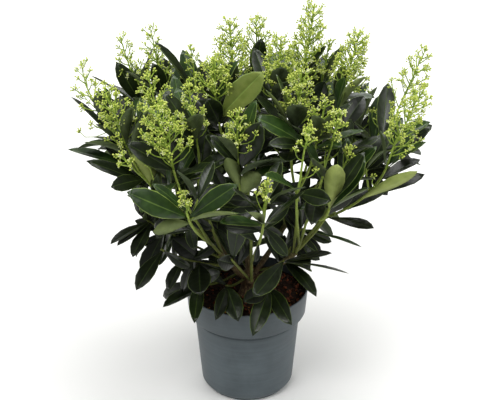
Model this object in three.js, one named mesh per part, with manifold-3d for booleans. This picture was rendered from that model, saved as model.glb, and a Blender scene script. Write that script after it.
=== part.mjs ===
// A skimmia in its nursery pot: an evergreen flowering shrub with several stems, built as separate solids.
// Units are millimetres. +X is right, +Y is back, +Z is up, and the origin is the middle of the pot's flat
// underside. The stems fork from a short root stock, each fork carries boughs, and each bough carries one
// mass of leafy shoots with flower heads. All growth follows seeded rules, so every run gives the same plant.
import * as THREE from "three";
import { mergeVertices } from "three/addons/utils/BufferGeometryUtils.js";
import Module from "manifold-3d";

const wasm = await Module();
wasm.setup();

// ---- Driving dimensions -------------------------------------------------------------------------------

const GAP = 0.4; // clearance between solids that meet
const POT = {
  height: 200,
  rimRadius: 110,
  bandFoot: 151, // height of the lower edge of the deep band under the rim
  bandFootRadius: 106.6,
  bodyTopRadius: 95.7,
  bodyFootRadius: 84.6,
  chamfer: 10.7, // height of the bevel between the body and the foot
  footRadius: 77.6,
  wall: 2.2,
  lip: 1.5, // rounding of the rim and of the band's lower edge
  sides: 40,
};
const SOIL = { top: 180, flatRadius: 62, edgeDrop: 4 };
const STOCK = { height: 44, radius: 11.5, flare: 8, waist: 0.45, lean: [3, 2], spokes: 10, steps: 5 };
// lift is how far a limb turns upwards before its end, and bow how early it starts to.
const STEM = { foot: 5.4, tip: 3.9, node: 1.2, spokes: 6, steps: 4, start: 24, lift: 0.35, bow: 0.45 };
const BOUGH = { foot: 3.1, tip: 2.4, spokes: 5, steps: 3, spacing: 8, share: 0.5, lift: 0.25, bow: 0.4 };
const SHOOT = { foot: 2.7, tip: 2.1, spokes: 4, steps: 3, branch: 0.12, lift: 0.8, bow: 0.5, lowBow: 0.4 };
const HEAD = {
  lean: 0.00125, // the tip's lean outwards for each millimetre that it stands from the pot's axis
  bare: 0.28, // share of bare stalk
  stalk: 1.4, // radius of the stalk
  girth: 37, // radius of the widest ring of a head of full size
  slender: [0.45, 1.05], // girth of the smallest head and of the largest one, against girth
  fullSize: 220, // height that adds one whole girth to the smallest
  rings: 5,
  hollow: 0.72, // radius between the tufts of a ring
  tufts: [0.8, 1.15], // range of the tufts' own radii
  shoulder: [0.75, 0.4], // place and roundness of the widest ring
  taper: 0.15,
  twist: 0.7, // turn of each ring from the one below
  tip: 5,
};
const LEAF = {
  length: 102,
  width: 37,
  thickness: 0.016, // rise of the middle, against the length
  sizes: [0.78, 1.12],
  topSize: 0.86, // of the two at the very tip
  breadths: [0.86, 1.14],
  arches: [0.04, 0.21],
  root: 0.7, // how far the root is sunk past the shoot's axis
  clear: 0.8, // room left round a leaf
  neck: 0.12, // share of the leaf that counts as its stalk
};
const RUFF = { size: 8, top: 0.985, spacing: 0.03, below: 0.76, reach: 0.4 }; // where leaves sit on a shoot
const SPLAY = { crown: 80, skirt: 104, range: 50, spread: 16 }; // degrees from the shoot to its leaves
const LEAVES = { tall: 10, short: 6, tallFrom: 100 }; // leaves on a shoot, by the height of its flower head
const SWING = 0.5; // widest chance turn of a leaf from its place
const GOLDEN = THREE.MathUtils.degToRad(137.508); // turn from each leaf to the next
const LEAF_TURNS = [0, 0.4, -0.4, 0.8]; // other places, in radians round the shoot, tried for a crowded leaf

// Where each main stem ends in a fork: right, back and up.
const FORKS = {
  front_left: [-46, -50, 289],
  front_right: [84, -46, 288],
  front: [8, -60, 240],
  back_left: [-72, 56, 288],
  back_right: [72, 60, 292],
  back: [-4, 92, 280],
  middle: [4, 8, 322],
};

// The crown's masses: the fork that carries each, and the tip of each of its flower heads as
// right, back, up, and its height above the leaves that it stands in. A fifth number is a lean of its own.
const CROWN = {
  left: ["front_left", [-276, 45, 604, 130], [-228, -60, 604, 130], [-140, -30, 484, 60]],
  front_left: ["front_left", [-140, -160, 630, 150], [-195, -150, 514, 110, 0.0033], [-92, -236, 492, 50]],
  inner_left: ["front_left", [-156, -50, 615, 110], [-91, -90, 611, 110]],
  front: ["front", [-16, -140, 616, 140], [28, -250, 514, 80]],
  front_right: ["front_right", [138, -170, 594, 125], [90, -222, 590, 120], [140, -200, 516, 80]],
  inner_right: ["front_right", [86, -80, 630, 120], [122, -118, 600, 90]],
  right_front: ["front_right", [272, -108, 608, 145], [160, -130, 520, 70]],
  right: ["front_right", [290, 0, 640, 170], [250, 66, 530, 90]],
  inner_back_right: ["back_right", [184, 22, 662, 135], [144, 110, 624, 110]],
  top_right: ["back_right", [112, 60, 697, 135], [17, 130, 660, 120]],
  right_back: ["back_right", [228, 118, 560, 110], [196, 190, 540, 110], [226, 150, 470, 70]],
  middle: ["middle", [-54, -20, 630, 105], [56, 16, 655, 115]],
  inner_back: ["middle", [-28, 70, 669, 125], [-98, 108, 612, 105]],
  back_left: ["back_left", [-222, 130, 626, 125], [-166, 90, 654, 130], [-236, 128, 496, 80]],
  back_far_left: ["back_left", [-172, 212, 580, 120], [-110, 256, 552, 110]],
  back: ["back", [-50, 196, 604, 120], [-10, 270, 548, 110]],
  back_far_right: ["back", [112, 196, 604, 120], [100, 264, 540, 110], [156, 226, 500, 70]],
};

// Low shoots with leaves alone, that droop under the crown and over the rim. Each gives the stem that carries
// it, how far along that stem it springs, where its leaves gather, and how many leaves it bears.
const SKIRT = {
  low_left: ["front_left", 0.75, [-172, -24, 340], 9],
  low_front_left: ["front_left", 0.5, [-146, -64, 304], 8],
  low_front: ["front", 0.8, [-24, -148, 330], 7],
  low_front_right: ["front_right", 0.5, [62, -100, 302], 6],
  low_right: ["front_right", 0.8, [96, -10, 316], 7],
  low_back_left: ["back_left", 0.6, [-118, 104, 342], 8],
  low_back_right: ["back_right", 0.6, [104, 110, 336], 8],
  low_back: ["back", 0.6, [0, 166, 332], 8],
  rim_left: ["back_left", 0.15, [-96, -44, 228], 7],
  rim_front_left: ["front_left", 0.1, [-36, -58, 230], 6],
  rim_front_right: ["front_right", 0.1, [40, -60, 228], 6],
  rim_right: ["back_right", 0.15, [66, 18, 238], 6],
  rim_back: ["back", 0.15, [-16, 70, 236], 6],
};

// ---- Small tools ---------------------------------------------------------------------------------------

const UP = new THREE.Vector3(0, 0, 1);
const vec = (x, y, z) => new THREE.Vector3(x, y, z);
const mixed = (a, b, share) => a + (b - a) * share;

// A repeatable stream of numbers from 0 to 1.
function seeded(seed) {
  let state = (seed * 7919 + 12345) >>> 0;
  const next = () => {
    state = (Math.imul(state, 1664525) + 1013904223) >>> 0;
    return state / 4294967296;
  };
  next();
  return next;
}

// A closed three.js geometry as a solid that can be joined and cut.
function solidOf(geometry) {
  const bare = new THREE.BufferGeometry();
  bare.setAttribute("position", geometry.getAttribute("position"));
  bare.setIndex(geometry.index);
  const merged = mergeVertices(bare, 1e-4);
  const corners = merged.index.array;
  const kept = [];
  for (let i = 0; i < corners.length; i += 3) {
    const [a, b, c] = [corners[i], corners[i + 1], corners[i + 2]];
    if (a !== b && b !== c && c !== a) kept.push(a, b, c);
  }
  return new wasm.Manifold(
    new wasm.Mesh({
      numProp: 3,
      vertProperties: new Float32Array(merged.attributes.position.array),
      triVerts: new Uint32Array(kept),
    }),
  );
}

// The largest body of a solid: sealed hollows are filled and loose scraps dropped.
function wholeOf(solid) {
  return solid.decompose().reduce((most, body) => (body.volume() > most.volume() ? body : most));
}

function meshOf(name, solid, material) {
  const { vertProperties, triVerts } = solid.getMesh();
  const geometry = new THREE.BufferGeometry();
  geometry.setAttribute("position", new THREE.BufferAttribute(vertProperties, 3));
  geometry.setIndex(new THREE.BufferAttribute(triVerts, 1));
  geometry.computeVertexNormals();
  const mesh = new THREE.Mesh(geometry, material);
  mesh.name = name;
  return mesh;
}

// A closed turned shape about the vertical axis, from [radius, height] pairs.
function turned(profile) {
  const points = profile.map(([radius, height]) => new THREE.Vector2(radius, height));
  return solidOf(new THREE.LatheGeometry(points, POT.sides).rotateX(Math.PI / 2));
}

// The direction at a turn round an axis.
function roundAxis(axis, turn) {
  const side = axis.clone().cross(UP);
  if (side.length() < 1e-3) side.set(1, 0, 0);
  side.normalize();
  const front = axis.clone().cross(side);
  return side.multiplyScalar(Math.cos(turn)).addScaledVector(front, Math.sin(turn));
}

// A direction turned upwards.
const lifted = (way, lift) => way.clone().addScaledVector(UP, lift).normalize();

// A bend from start to end that comes in to end along the direction `arrive`.
function bend(start, end, arrive, bow) {
  const control = end.clone().addScaledVector(arrive, -bow * start.distanceTo(end));
  return new THREE.QuadraticBezierCurve3(start, control, end);
}

// Places along a curve, evenly by its parameter, with the radius there.
function stationsOf(curve, steps, radiusAt) {
  return Array.from({ length: steps + 1 }, (_, i) => {
    const radius = radiusAt(i / steps);
    return { at: curve.getPoint(i / steps), way: curve.getTangent(i / steps), radii: () => radius, twist: 0 };
  });
}

// A closed limb through its stations: a cylinder bent along them without twisting, with its own radius at
// every station and spoke. grow makes a larger copy that marks out the clearance round the limb.
function limb(stations, spokes, grow = 0) {
  const steps = stations.length - 1;
  const geometry = new THREE.CylinderGeometry(1, 1, steps, spokes, steps);
  const place = geometry.getAttribute("position");
  const sides = [roundAxis(stations[0].way, 0)];
  for (let i = 1; i <= steps; i++) {
    const { way } = stations[i];
    const carried = sides[i - 1].clone().addScaledVector(way, -way.dot(sides[i - 1]));
    sides.push(carried.normalize());
  }
  for (let i = 0; i < place.count; i++) {
    const index = Math.round(place.getY(i) + steps / 2);
    const { at, way, radii, twist } = stations[index];
    const [x, z] = [place.getX(i), place.getZ(i)];
    const spoke = Math.round((Math.atan2(x, z) / (2 * Math.PI)) * spokes + spokes) % spokes;
    const angle = (spoke / spokes) * 2 * Math.PI + twist;
    const radius = Math.round(Math.hypot(x, z)) * (radii(spoke) + grow);
    const beyond = index === 0 ? -grow : index === steps ? grow : 0;
    const point = at
      .clone()
      .addScaledVector(way, beyond)
      .addScaledVector(sides[index], radius * Math.sin(angle))
      .addScaledVector(sides[index].clone().cross(way), radius * Math.cos(angle));
    place.setXYZ(i, point.x, point.y, point.z);
  }
  return solidOf(geometry);
}

// ---- Pot, soil and root stock --------------------------------------------------------------------------

const within = (radius) => radius - POT.wall;
const potProfile = [
  [0, 0],
  [POT.footRadius, 0],
  [POT.bodyFootRadius, POT.chamfer],
  [POT.bodyTopRadius, POT.bandFoot],
  [POT.bandFootRadius - POT.lip, POT.bandFoot],
  [POT.bandFootRadius, POT.bandFoot + POT.lip],
  [POT.rimRadius, POT.height - POT.lip],
  [POT.rimRadius - POT.lip / 2, POT.height],
  [within(POT.rimRadius), POT.height],
  [within(POT.bandFootRadius), POT.bandFoot + POT.wall],
  [within(POT.bodyTopRadius), POT.bandFoot - POT.wall],
  [within(POT.bodyFootRadius), POT.chamfer],
  [within(POT.footRadius), POT.wall],
  [0, POT.wall],
];
const potSolid = turned(potProfile);

const soilEdge = SOIL.top - SOIL.edgeDrop;
const bandSlope = (POT.rimRadius - POT.bandFootRadius) / (POT.height - POT.bandFoot);
const apart = (radius) => within(radius) - 2 * GAP;
const soilProfile = [
  [0, POT.wall + GAP],
  [apart(POT.footRadius), POT.wall + GAP],
  [apart(POT.bodyFootRadius), POT.chamfer + GAP],
  [apart(POT.bodyTopRadius), POT.bandFoot - POT.wall + GAP],
  [apart(POT.bandFootRadius), POT.bandFoot + POT.wall + GAP],
  [apart(POT.bandFootRadius) + bandSlope * (soilEdge - POT.bandFoot - POT.wall), soilEdge],
  [SOIL.flatRadius, SOIL.top],
  [0, SOIL.top],
];
const soilSolid = turned(soilProfile);

const limbs = []; // every limb so far: its name, its solid, and the larger copy that later solids keep out of

// Adds a limb, cut back from the limbs that it springs from or passes.
function addLimb(name, stations, spokes) {
  const cut = clearOfLimbs(limb(stations, spokes));
  limbs.push({ name, solid: cut, grown: limb(stations, spokes, GAP) });
}

function clearOfLimbs(solid) {
  return wholeOf(limbs.reduce((left, other) => left.subtract(other.grown), solid));
}

const stockFoot = vec(0, 0, SOIL.top + GAP);
const stockTop = vec(...STOCK.lean, SOIL.top + GAP + STOCK.height);
const stockWaist = vec(0, 0, SOIL.top + GAP + STOCK.height / 2);
const stockCurve = new THREE.QuadraticBezierCurve3(stockFoot, stockWaist, stockTop);
const flare = (along) => STOCK.flare * Math.max(0, 1 - along / STOCK.waist) ** 2;
addLimb("root_stock", stationsOf(stockCurve, STOCK.steps, (a) => STOCK.radius + flare(a)), STOCK.spokes);

// ---- Stems and boughs ----------------------------------------------------------------------------------

const stems = {};
for (const [name, place] of Object.entries(FORKS)) {
  const end = vec(...place);
  const lean = end.clone().sub(stockTop).normalize();
  const start = vec(stockTop.x, stockTop.y, SOIL.top + STEM.start).addScaledVector(lean, BOUGH.foot);
  const curve = bend(start, end, lifted(lean, STEM.lift), STEM.bow);
  const radiusAt = (along) => mixed(STEM.foot, STEM.tip, along) + (along === 1 ? STEM.node : 0);
  addLimb("stem_" + name, stationsOf(curve, STEM.steps, radiusAt), STEM.spokes);
  stems[name] = { curve, length: start.distanceTo(end), boughs: 0 };
}

// A bough from a fork to the foot of a mass. Each further bough springs a little lower on the stem.
function addBough(name, fork, target) {
  const stem = stems[fork];
  const start = stem.curve.getPoint(1 - (BOUGH.spacing * stem.boughs) / stem.length);
  stem.boughs += 1;
  const end = start.clone().lerp(target, BOUGH.share);
  const arrive = lifted(target.clone().sub(start).normalize(), BOUGH.lift);
  const curve = bend(start, end, arrive, BOUGH.bow);
  const radiusAt = (along) => mixed(BOUGH.foot, BOUGH.tip, along);
  addLimb("bough_" + name, stationsOf(curve, BOUGH.steps, radiusAt), BOUGH.spokes);
  return { end, arrive };
}

// ---- Shoots, flower heads and leaves -------------------------------------------------------------------

// The stations of a flower head on its stalk: rings of tufts that stand out from the axis in pairs, with
// hollows between them. Each ring is turned from the one below, and the head is widest below its middle.
function headStations(axis, random) {
  const [least, most] = HEAD.slender;
  const [shoulder, roundness] = HEAD.shoulder;
  const girth = HEAD.girth * Math.min(most, least + axis.getLength() / HEAD.fullSize);
  const place = (share) => ({ at: axis.getPoint(share), way: axis.getTangent(share) });
  const stations = [{ ...place(HEAD.bare), radii: () => HEAD.stalk, twist: 0 }];
  for (let ring = 0; ring < HEAD.rings; ring++) {
    const share = (ring + 0.6) / HEAD.rings;
    const cone = girth * Math.sin(Math.PI * share ** shoulder) ** roundness * (1 - HEAD.taper * share);
    const radii = Array.from({ length: SHOOT.spokes }, (_, spoke) => {
      const tuft = spoke % 2 === 0 ? 1 : HEAD.hollow;
      return cone * tuft * mixed(...HEAD.tufts, random());
    });
    const twist = HEAD.twist * (ring + 1);
    stations.push({ ...place(mixed(HEAD.bare, 1, share)), radii: (spoke) => radii[spoke], twist });
  }
  stations.push({ ...place(1), radii: () => HEAD.tip, twist: HEAD.twist * HEAD.rings });
  return stations;
}

// A point of a shoot's straight-edged axis, at a parameter of its curve.
function onShoot(curve, t) {
  const step = Math.min(SHOOT.steps - 1, Math.floor(t * SHOOT.steps));
  const from = curve.getPoint(step / SHOOT.steps);
  return from.lerp(curve.getPoint((step + 1) / SHOOT.steps), t * SHOOT.steps - step);
}

// The leaves of one shoot, from its tip down: a ruff round the tip, then single leaves along it. The lowest
// leaves stand out at the angle `splay` from the shoot.
function leavesOf(curve, count, splay, random) {
  const leaves = [];
  const start = random() * Math.PI * 2;
  const ruff = Math.min(count, RUFF.size);
  for (let i = 0; i < count; i++) {
    const [tilt, swing, size, breadth, sag] = Array.from({ length: 5 }, random);
    const lower = Math.max(0, i - ruff + 1) / Math.max(1, count - ruff);
    const t = i < ruff ? RUFF.top - RUFF.spacing * i : RUFF.below - RUFF.reach * lower;
    const degrees = mixed(splay - SPLAY.range, splay, Math.min(1, i / ruff)) + SPLAY.spread * (tilt - 0.5);
    const length = LEAF.length * mixed(...LEAF.sizes, size) * (i < 2 ? LEAF.topSize : 1);
    leaves.push({
      root: onShoot(curve, t),
      axis: curve.getTangent(t),
      turn: start + i * GOLDEN + SWING * (swing - 0.5),
      angle: THREE.MathUtils.degToRad(degrees),
      length,
      width: LEAF.width * mixed(...LEAF.breadths, breadth) * (length / LEAF.length),
      arch: mixed(...LEAF.arches, sag),
    });
  }
  return leaves;
}

// The outline of a leaf as [share of its length, side, share of its width], and its raised middle.
const LEAF_POINTS = [
  [0, 0, 0],
  [0.32, 1, 0.38],
  [0.66, 1, 0.5],
  [1, 0, 0],
  [0.66, -1, 0.5],
  [0.32, -1, 0.38],
  [0.5, 0, 0],
];
const LEAF_MIDDLE = 6;
const LEAF_FACES = [
  [1, 0, 6, 2, 1, 6, 3, 2, 6, 4, 3, 6, 5, 4, 6, 0, 5, 6],
  [5, 0, 1, 5, 1, 4, 4, 1, 2, 4, 2, 3],
].flat();

// One leaf: a long pointed blade with a raised middle, arched over its length. from is where along the leaf
// the blade begins, and extra makes a fatter copy.
function leafSolid({ root, axis, turn, angle, length, width, arch }, from = 0, extra = 0) {
  const outward = roundAxis(axis, turn);
  const along = axis.clone().multiplyScalar(Math.cos(angle)).addScaledVector(outward, Math.sin(angle));
  const face = axis.clone().multiplyScalar(Math.sin(angle)).addScaledVector(outward, -Math.cos(angle));
  const aside = face.clone().cross(along);
  const droop = (share) => arch * share * share * length;
  const waist = droop(mixed(from, 1, 0.5));
  const geometry = new THREE.BufferGeometry();
  const points = LEAF_POINTS.flatMap(([at, side, breadth], index) => {
    const share = mixed(from, 1, at);
    const sag = at < 0.5 ? mixed(droop(from), waist, 2 * at) : mixed(waist, droop(1), 2 * at - 1);
    const lift = index === LEAF_MIDDLE ? LEAF.thickness * length + extra : -extra;
    return root
      .clone()
      .addScaledVector(along, share * length - (share === 0 ? LEAF.root : 0))
      .addScaledVector(aside, side * (breadth * width + extra))
      .addScaledVector(face, lift - sag)
      .toArray();
  });
  geometry.setAttribute("position", new THREE.Float32BufferAttribute(points, 3));
  geometry.setIndex(LEAF_FACES);
  return solidOf(geometry);
}

// ---- Masses --------------------------------------------------------------------------------------------

const masses = []; // each has its name, its shoots with the leaves to be tried on them, and the leaves kept
const shootRadius = (along) => mixed(SHOOT.foot, SHOOT.tip, along);

Object.entries(CROWN).forEach(([name, [fork, ...heads]], index) => {
  const whorls = heads.map(([x, y, z, height, lean = HEAD.lean]) => {
    const inset = 1 - lean * height;
    return vec(inset * x, inset * y, z - height);
  });
  const middle = whorls.reduce((sum, whorl) => sum.add(whorl), vec(0, 0, 0)).divideScalar(whorls.length);
  const { end, arrive } = addBough(name, fork, middle);
  const foot = end.clone().addScaledVector(arrive, GAP);
  let first;
  const shoots = heads.map(([x, y, z], order) => {
    const random = seeded(100 * (index + 1) + order);
    const tip = vec(x, y, z);
    const stalk = new THREE.LineCurve3(whorls[order], tip);
    const start = first ? onShoot(first, SHOOT.branch * order) : foot;
    const curve = bend(start, whorls[order], stalk.getTangent(0), SHOOT.bow);
    first ??= curve;
    const stations = [...stationsOf(curve, SHOOT.steps, shootRadius), ...headStations(stalk, random)];
    const count = z - whorls[order].z > LEAVES.tallFrom ? LEAVES.tall : LEAVES.short;
    return { solid: limb(stations, SHOOT.spokes), leaves: leavesOf(curve, count, SPLAY.crown, random) };
  });
  masses.push({ name: "mass_" + name, shoots, kept: [] });
});

Object.entries(SKIRT).forEach(([name, [fork, t, place, count]], index) => {
  const random = seeded(5000 + 100 * index);
  const whorl = vec(...place);
  const start = stems[fork].curve.getPoint(t);
  const arrive = lifted(vec(place[0], place[1], 0).normalize(), SHOOT.lift);
  const curve = bend(start, whorl, arrive, SHOOT.lowBow);
  const solid = limb(stationsOf(curve, SHOOT.steps, shootRadius), SHOOT.spokes);
  const leaves = leavesOf(curve, count, SPLAY.skirt, random);
  masses.push({ name: "mass_" + name, shoots: [{ solid, leaves }], kept: [] });
});

// Everything that a new piece has to keep clear of: its owner, its solid and its box.
const taken = [];
const claim = (owner, solid) => taken.push({ owner, solid, box: solid.boundingBox() });
limbs.forEach((item) => claim(item.name, item.grown));
claim("pot", potSolid);
claim("soil", soilSolid);

const AXES = [0, 1, 2];
const boxesMeet = (a, b) => AXES.every((k) => a.min[k] <= b.max[k] && b.min[k] <= a.max[k]);

function meets(solid, others) {
  const box = solid.boundingBox();
  return others.some((other) => boxesMeet(box, other.box) && !solid.intersect(other.solid).isEmpty());
}

// Shoots first. The first of each mass is trimmed back from the limbs, and another that touches is skipped.
for (const mass of masses) {
  const others = taken.filter((item) => item.owner !== mass.name);
  mass.shoots[0].solid = clearOfLimbs(mass.shoots[0].solid);
  mass.shoots = mass.shoots.filter(({ solid }, order) => order === 0 || !meets(solid, others));
  mass.shoots.forEach(({ solid }) => claim(mass.name, solid));
}

// Then the leaves, the topmost of every shoot first, so that neighbours share the room evenly. A leaf is
// turned a little or left out where it would touch a limb or another mass, or where its blade would cross
// another blade or a shoot of its own mass.
const blades = [];
const rankCount = Math.max(...masses.flatMap((mass) => mass.shoots.map(({ leaves }) => leaves.length)));
for (let rank = 0; rank < rankCount; rank++) {
  for (const mass of masses) {
    const others = taken.filter((item) => item.owner !== mass.name);
    const crossed = [...blades, ...taken.filter((item) => item.owner === mass.name)];
    for (const { leaves } of mass.shoots.filter((shoot) => shoot.leaves.length > rank)) {
      const places = LEAF_TURNS.map((turn) => ({ ...leaves[rank], turn: leaves[rank].turn + turn }));
      const leaf = places.find((place) => {
        const blade = leafSolid(place, LEAF.neck);
        return !meets(leafSolid(place, 0, LEAF.clear), others) && !meets(blade, crossed);
      });
      if (!leaf) continue;
      const solid = leafSolid(leaf);
      const blade = leafSolid(leaf, LEAF.neck);
      mass.kept.push(solid);
      blades.push({ owner: mass.name, solid: blade, box: blade.boundingBox() });
      crossed.push(blades.at(-1));
      claim(mass.name, solid);
    }
  }
}

// ---- The plant -----------------------------------------------------------------------------------------

const finish = (color, roughness) => new THREE.MeshStandardMaterial({ color, roughness, metalness: 0 });
const POT_PLASTIC = finish(0x566166, 0.55);
const PEAT = finish(0x2a1a12, 0.95);
const BARK = finish(0x5a4a30, 0.85);
const GREEN_WOOD = finish(0x5c6b2c, 0.6);
const FOLIAGE = finish(0x2c3d1c, 0.4);

const plant = new THREE.Group();
plant.add(meshOf("pot", potSolid, POT_PLASTIC));
plant.add(meshOf("soil", soilSolid, PEAT));
for (const { name, solid } of limbs) {
  plant.add(meshOf(name, solid, name.startsWith("bough") ? GREEN_WOOD : BARK));
}
for (const { name, shoots, kept } of masses) {
  const pieces = [...shoots.map(({ solid }) => solid), ...kept];
  plant.add(meshOf(name, wholeOf(wasm.Manifold.union(pieces)), FOLIAGE));
}

export default plant;
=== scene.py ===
# %% [markdown]
# # A skimmia in its pot
# Skimmia is a low evergreen shrub. Its leathery leaves stand in ruffs at the shoot tips, and most shoots end
# in an upright panicle of tiny buds and flowers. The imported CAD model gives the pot, the soil, the limbs and
# coarse masses of foliage. This lesson dresses it: the pot and soil get their real surface, the limbs get
# bark, and each mass is grown again by the same seeded rule with fine leaves, twigs and flowers.

import itertools
import math

import bmesh
import bpy
import numpy as np
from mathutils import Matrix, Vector
from mathutils.bvhtree import BVHTree


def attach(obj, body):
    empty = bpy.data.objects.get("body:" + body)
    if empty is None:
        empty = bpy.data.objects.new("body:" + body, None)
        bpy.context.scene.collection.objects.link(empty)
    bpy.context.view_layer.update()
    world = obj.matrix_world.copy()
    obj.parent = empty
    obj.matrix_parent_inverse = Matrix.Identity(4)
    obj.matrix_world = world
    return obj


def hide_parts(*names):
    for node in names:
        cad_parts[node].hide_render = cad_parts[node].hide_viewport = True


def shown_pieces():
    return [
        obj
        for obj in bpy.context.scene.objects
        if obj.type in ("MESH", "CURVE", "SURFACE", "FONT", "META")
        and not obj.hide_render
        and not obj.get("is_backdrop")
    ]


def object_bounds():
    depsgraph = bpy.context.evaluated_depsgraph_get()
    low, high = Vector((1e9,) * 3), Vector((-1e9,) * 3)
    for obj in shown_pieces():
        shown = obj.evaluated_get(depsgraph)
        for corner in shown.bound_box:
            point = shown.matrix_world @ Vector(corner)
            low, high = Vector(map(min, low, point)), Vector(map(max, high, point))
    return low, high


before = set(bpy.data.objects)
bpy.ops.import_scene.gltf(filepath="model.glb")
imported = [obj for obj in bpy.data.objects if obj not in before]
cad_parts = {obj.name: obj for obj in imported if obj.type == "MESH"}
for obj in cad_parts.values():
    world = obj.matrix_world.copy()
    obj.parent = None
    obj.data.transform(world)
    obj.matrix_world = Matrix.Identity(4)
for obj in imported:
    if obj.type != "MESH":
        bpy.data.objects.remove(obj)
CAD_BOX = [list(corner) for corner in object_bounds()]
MM = 0.001
MASSES = sorted(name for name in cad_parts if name.startswith("mass_"))
print("CAD box in metres:", CAD_BOX)
print("masses of foliage to grow again:", len(MASSES))

# %% [markdown]
# ## Camera and studio
# A plant is seen best from a little above, where the ruffs of leaves open towards the eye. The studio is
# plain: a pale floor that runs out of sight, an even white sky that the glossy leaves mirror as a soft grey
# sheen, and one large lamp high on the left that tells the upper sides from the lower ones.

# %% Place the camera
AIM = Vector((5.2, 0.0, 366.5)) * MM
ELEVATION = math.radians(25)
DISTANCE = 1.6

bpy.ops.object.select_all(action="DESELECT")
bpy.ops.object.camera_add()
camera = bpy.context.object
camera.name = "studio_camera"
camera.data.sensor_width = 36
camera.data.lens = 66.6
back = Vector((0, -math.cos(ELEVATION), math.sin(ELEVATION)))
camera.location = AIM + back * DISTANCE
camera.rotation_euler = (-back).to_track_quat("-Z", "Y").to_euler()
bpy.context.scene.camera = camera
print("camera at", [round(value, 3) for value in camera.location])


# %% Turn picked colours into shader colours
def linear(hex_colour):
    """An sRGB hex value as the linear RGBA that shaders work with."""
    parts = [int(hex_colour[i : i + 2], 16) / 255 for i in (1, 3, 5)]
    return (*(c / 12.92 if c <= 0.04045 else ((c + 0.055) / 1.055) ** 2.4 for c in parts), 1.0)


def add_node(tree, kind, settings):
    """Adds one shader node. A setting is an input, by name or number, the stops of a ramp, the four ends of a
    range, or a property. A node or a socket as its value is linked to that input."""
    made = tree.nodes.new("ShaderNode" + kind)
    for key, value in settings.items():
        if isinstance(value, bpy.types.Node):
            value = value.outputs[0]
        if isinstance(value, bpy.types.NodeSocket):
            tree.links.new(value, made.inputs[key])
        elif isinstance(key, int) or key in made.inputs:
            made.inputs[key].default_value = value
        elif key == "stops":
            while len(made.color_ramp.elements) < len(value):
                made.color_ramp.elements.new(0.5)
            for element, (place, colour) in zip(made.color_ramp.elements, value):
                element.position = place
                element.color = linear(colour)
        elif key == "range":
            for index, end in enumerate(value, 1):
                made.inputs[index].default_value = end
        else:
            setattr(made, key, value)
    return made


def new_material(name, **shader):
    """A material with one Principled shader, whose constants are set on its own sockets."""
    material = bpy.data.materials.new(name)
    material.use_nodes = True
    tree = material.node_tree
    principled = tree.nodes["Principled BSDF"]
    for key, value in shader.items():
        principled.inputs[key.replace("_", " ")].default_value = value
    return material, tree, principled


def feed(shader, **sources):
    """Links each node, or one of its sockets, to the shader's input of that name."""
    for key, source in sources.items():
        socket = source if isinstance(source, bpy.types.NodeSocket) else source.outputs[0]
        shader.id_data.links.new(socket, shader.inputs[key.replace("_", " ")])


def mottle(tree, stops, **clouds):
    """Close tones in clouds, at rest on the object's own coordinates. Returns the tones and the clouds."""
    place = add_node(tree, "TexCoord", {}).outputs["Object"]
    noise = add_node(tree, "TexNoise", {**clouds, "Vector": place})
    return add_node(tree, "ValToRGB", {"stops": stops, "Fac": noise}), noise


print("mid grey in linear:", round(linear("#808080")[0], 3))

# %% [markdown]
# ## The lamps
# Area lamps of a metre or more give edges of shadow as soft as a studio's. The bright world fills the
# shadows, so that the dark leaves inside the crown can still be told apart.

# %% Floor, sky and lamps
bpy.ops.mesh.primitive_plane_add(size=9)
floor = bpy.context.object
floor.name = "studio_floor"
floor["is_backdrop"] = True
paper, tree, shader = new_material("studio_paper", Roughness=0.9, Specular_IOR_Level=0.1)
grain = add_node(tree, "TexNoise", {"Scale": 3.0, "Detail": 2.0})
whites = [(0.3, "#f3f3f1"), (0.7, "#f7f7f5")]
feed(shader, Base_Color=add_node(tree, "ValToRGB", {"stops": whites, "Fac": grain}))
floor.data.materials.append(paper)

world = bpy.data.worlds.new("studio_sky")
world.use_nodes = True
sky = world.node_tree.nodes["Background"]
sky.inputs["Color"].default_value = linear("#ffffff")
sky.inputs["Strength"].default_value = 0.25
bpy.context.scene.world = world
bpy.context.scene.view_settings.view_transform = "Standard"


def add_lamp(name, place, size, power, aim=AIM):
    """An area lamp that faces the crown's middle, or the floor behind it."""
    bpy.ops.object.light_add(type="AREA", location=place)
    lamp = bpy.context.object
    lamp.name = name
    lamp.data.shape = "RECTANGLE"
    lamp.data.size, lamp.data.size_y = size
    lamp.data.energy = power
    lamp.rotation_euler = (Vector(aim) - Vector(place)).to_track_quat("-Z", "Y").to_euler()


add_lamp("key_lamp", (-1.0, -1.45, 2.55), (1.3, 1.3), 48)
add_lamp("top_lamp", (0.3, 0.6, 2.7), (1.7, 1.7), 44)
add_lamp("fill_lamp", (1.8, -0.9, 1.9), (1.4, 1.4), 21)
add_lamp("backdrop_lamp", (0.0, 2.6, 2.2), (3.2, 1.6), 70, (0.0, 2.9, 0.0))

# %% [markdown]
# ## Moulded plastic
# Nursery pots are injection-moulded polypropylene: a matt, slightly waxy plastic. The eye knows it by a broad
# soft highlight, by faint rings where the mould was turned, and by worn patches that are a little paler.

# %% Pot material
plastic, tree, shader = new_material("polypropylene_moulded_blue_grey", IOR=1.49, Specular_IOR_Level=0.4)
place = add_node(tree, "TexCoord", {}).outputs["Object"]
cloudy = add_node(tree, "TexNoise", {"Scale": 22.0, "Detail": 4.0, "Roughness": 0.6, "Vector": place})
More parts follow.
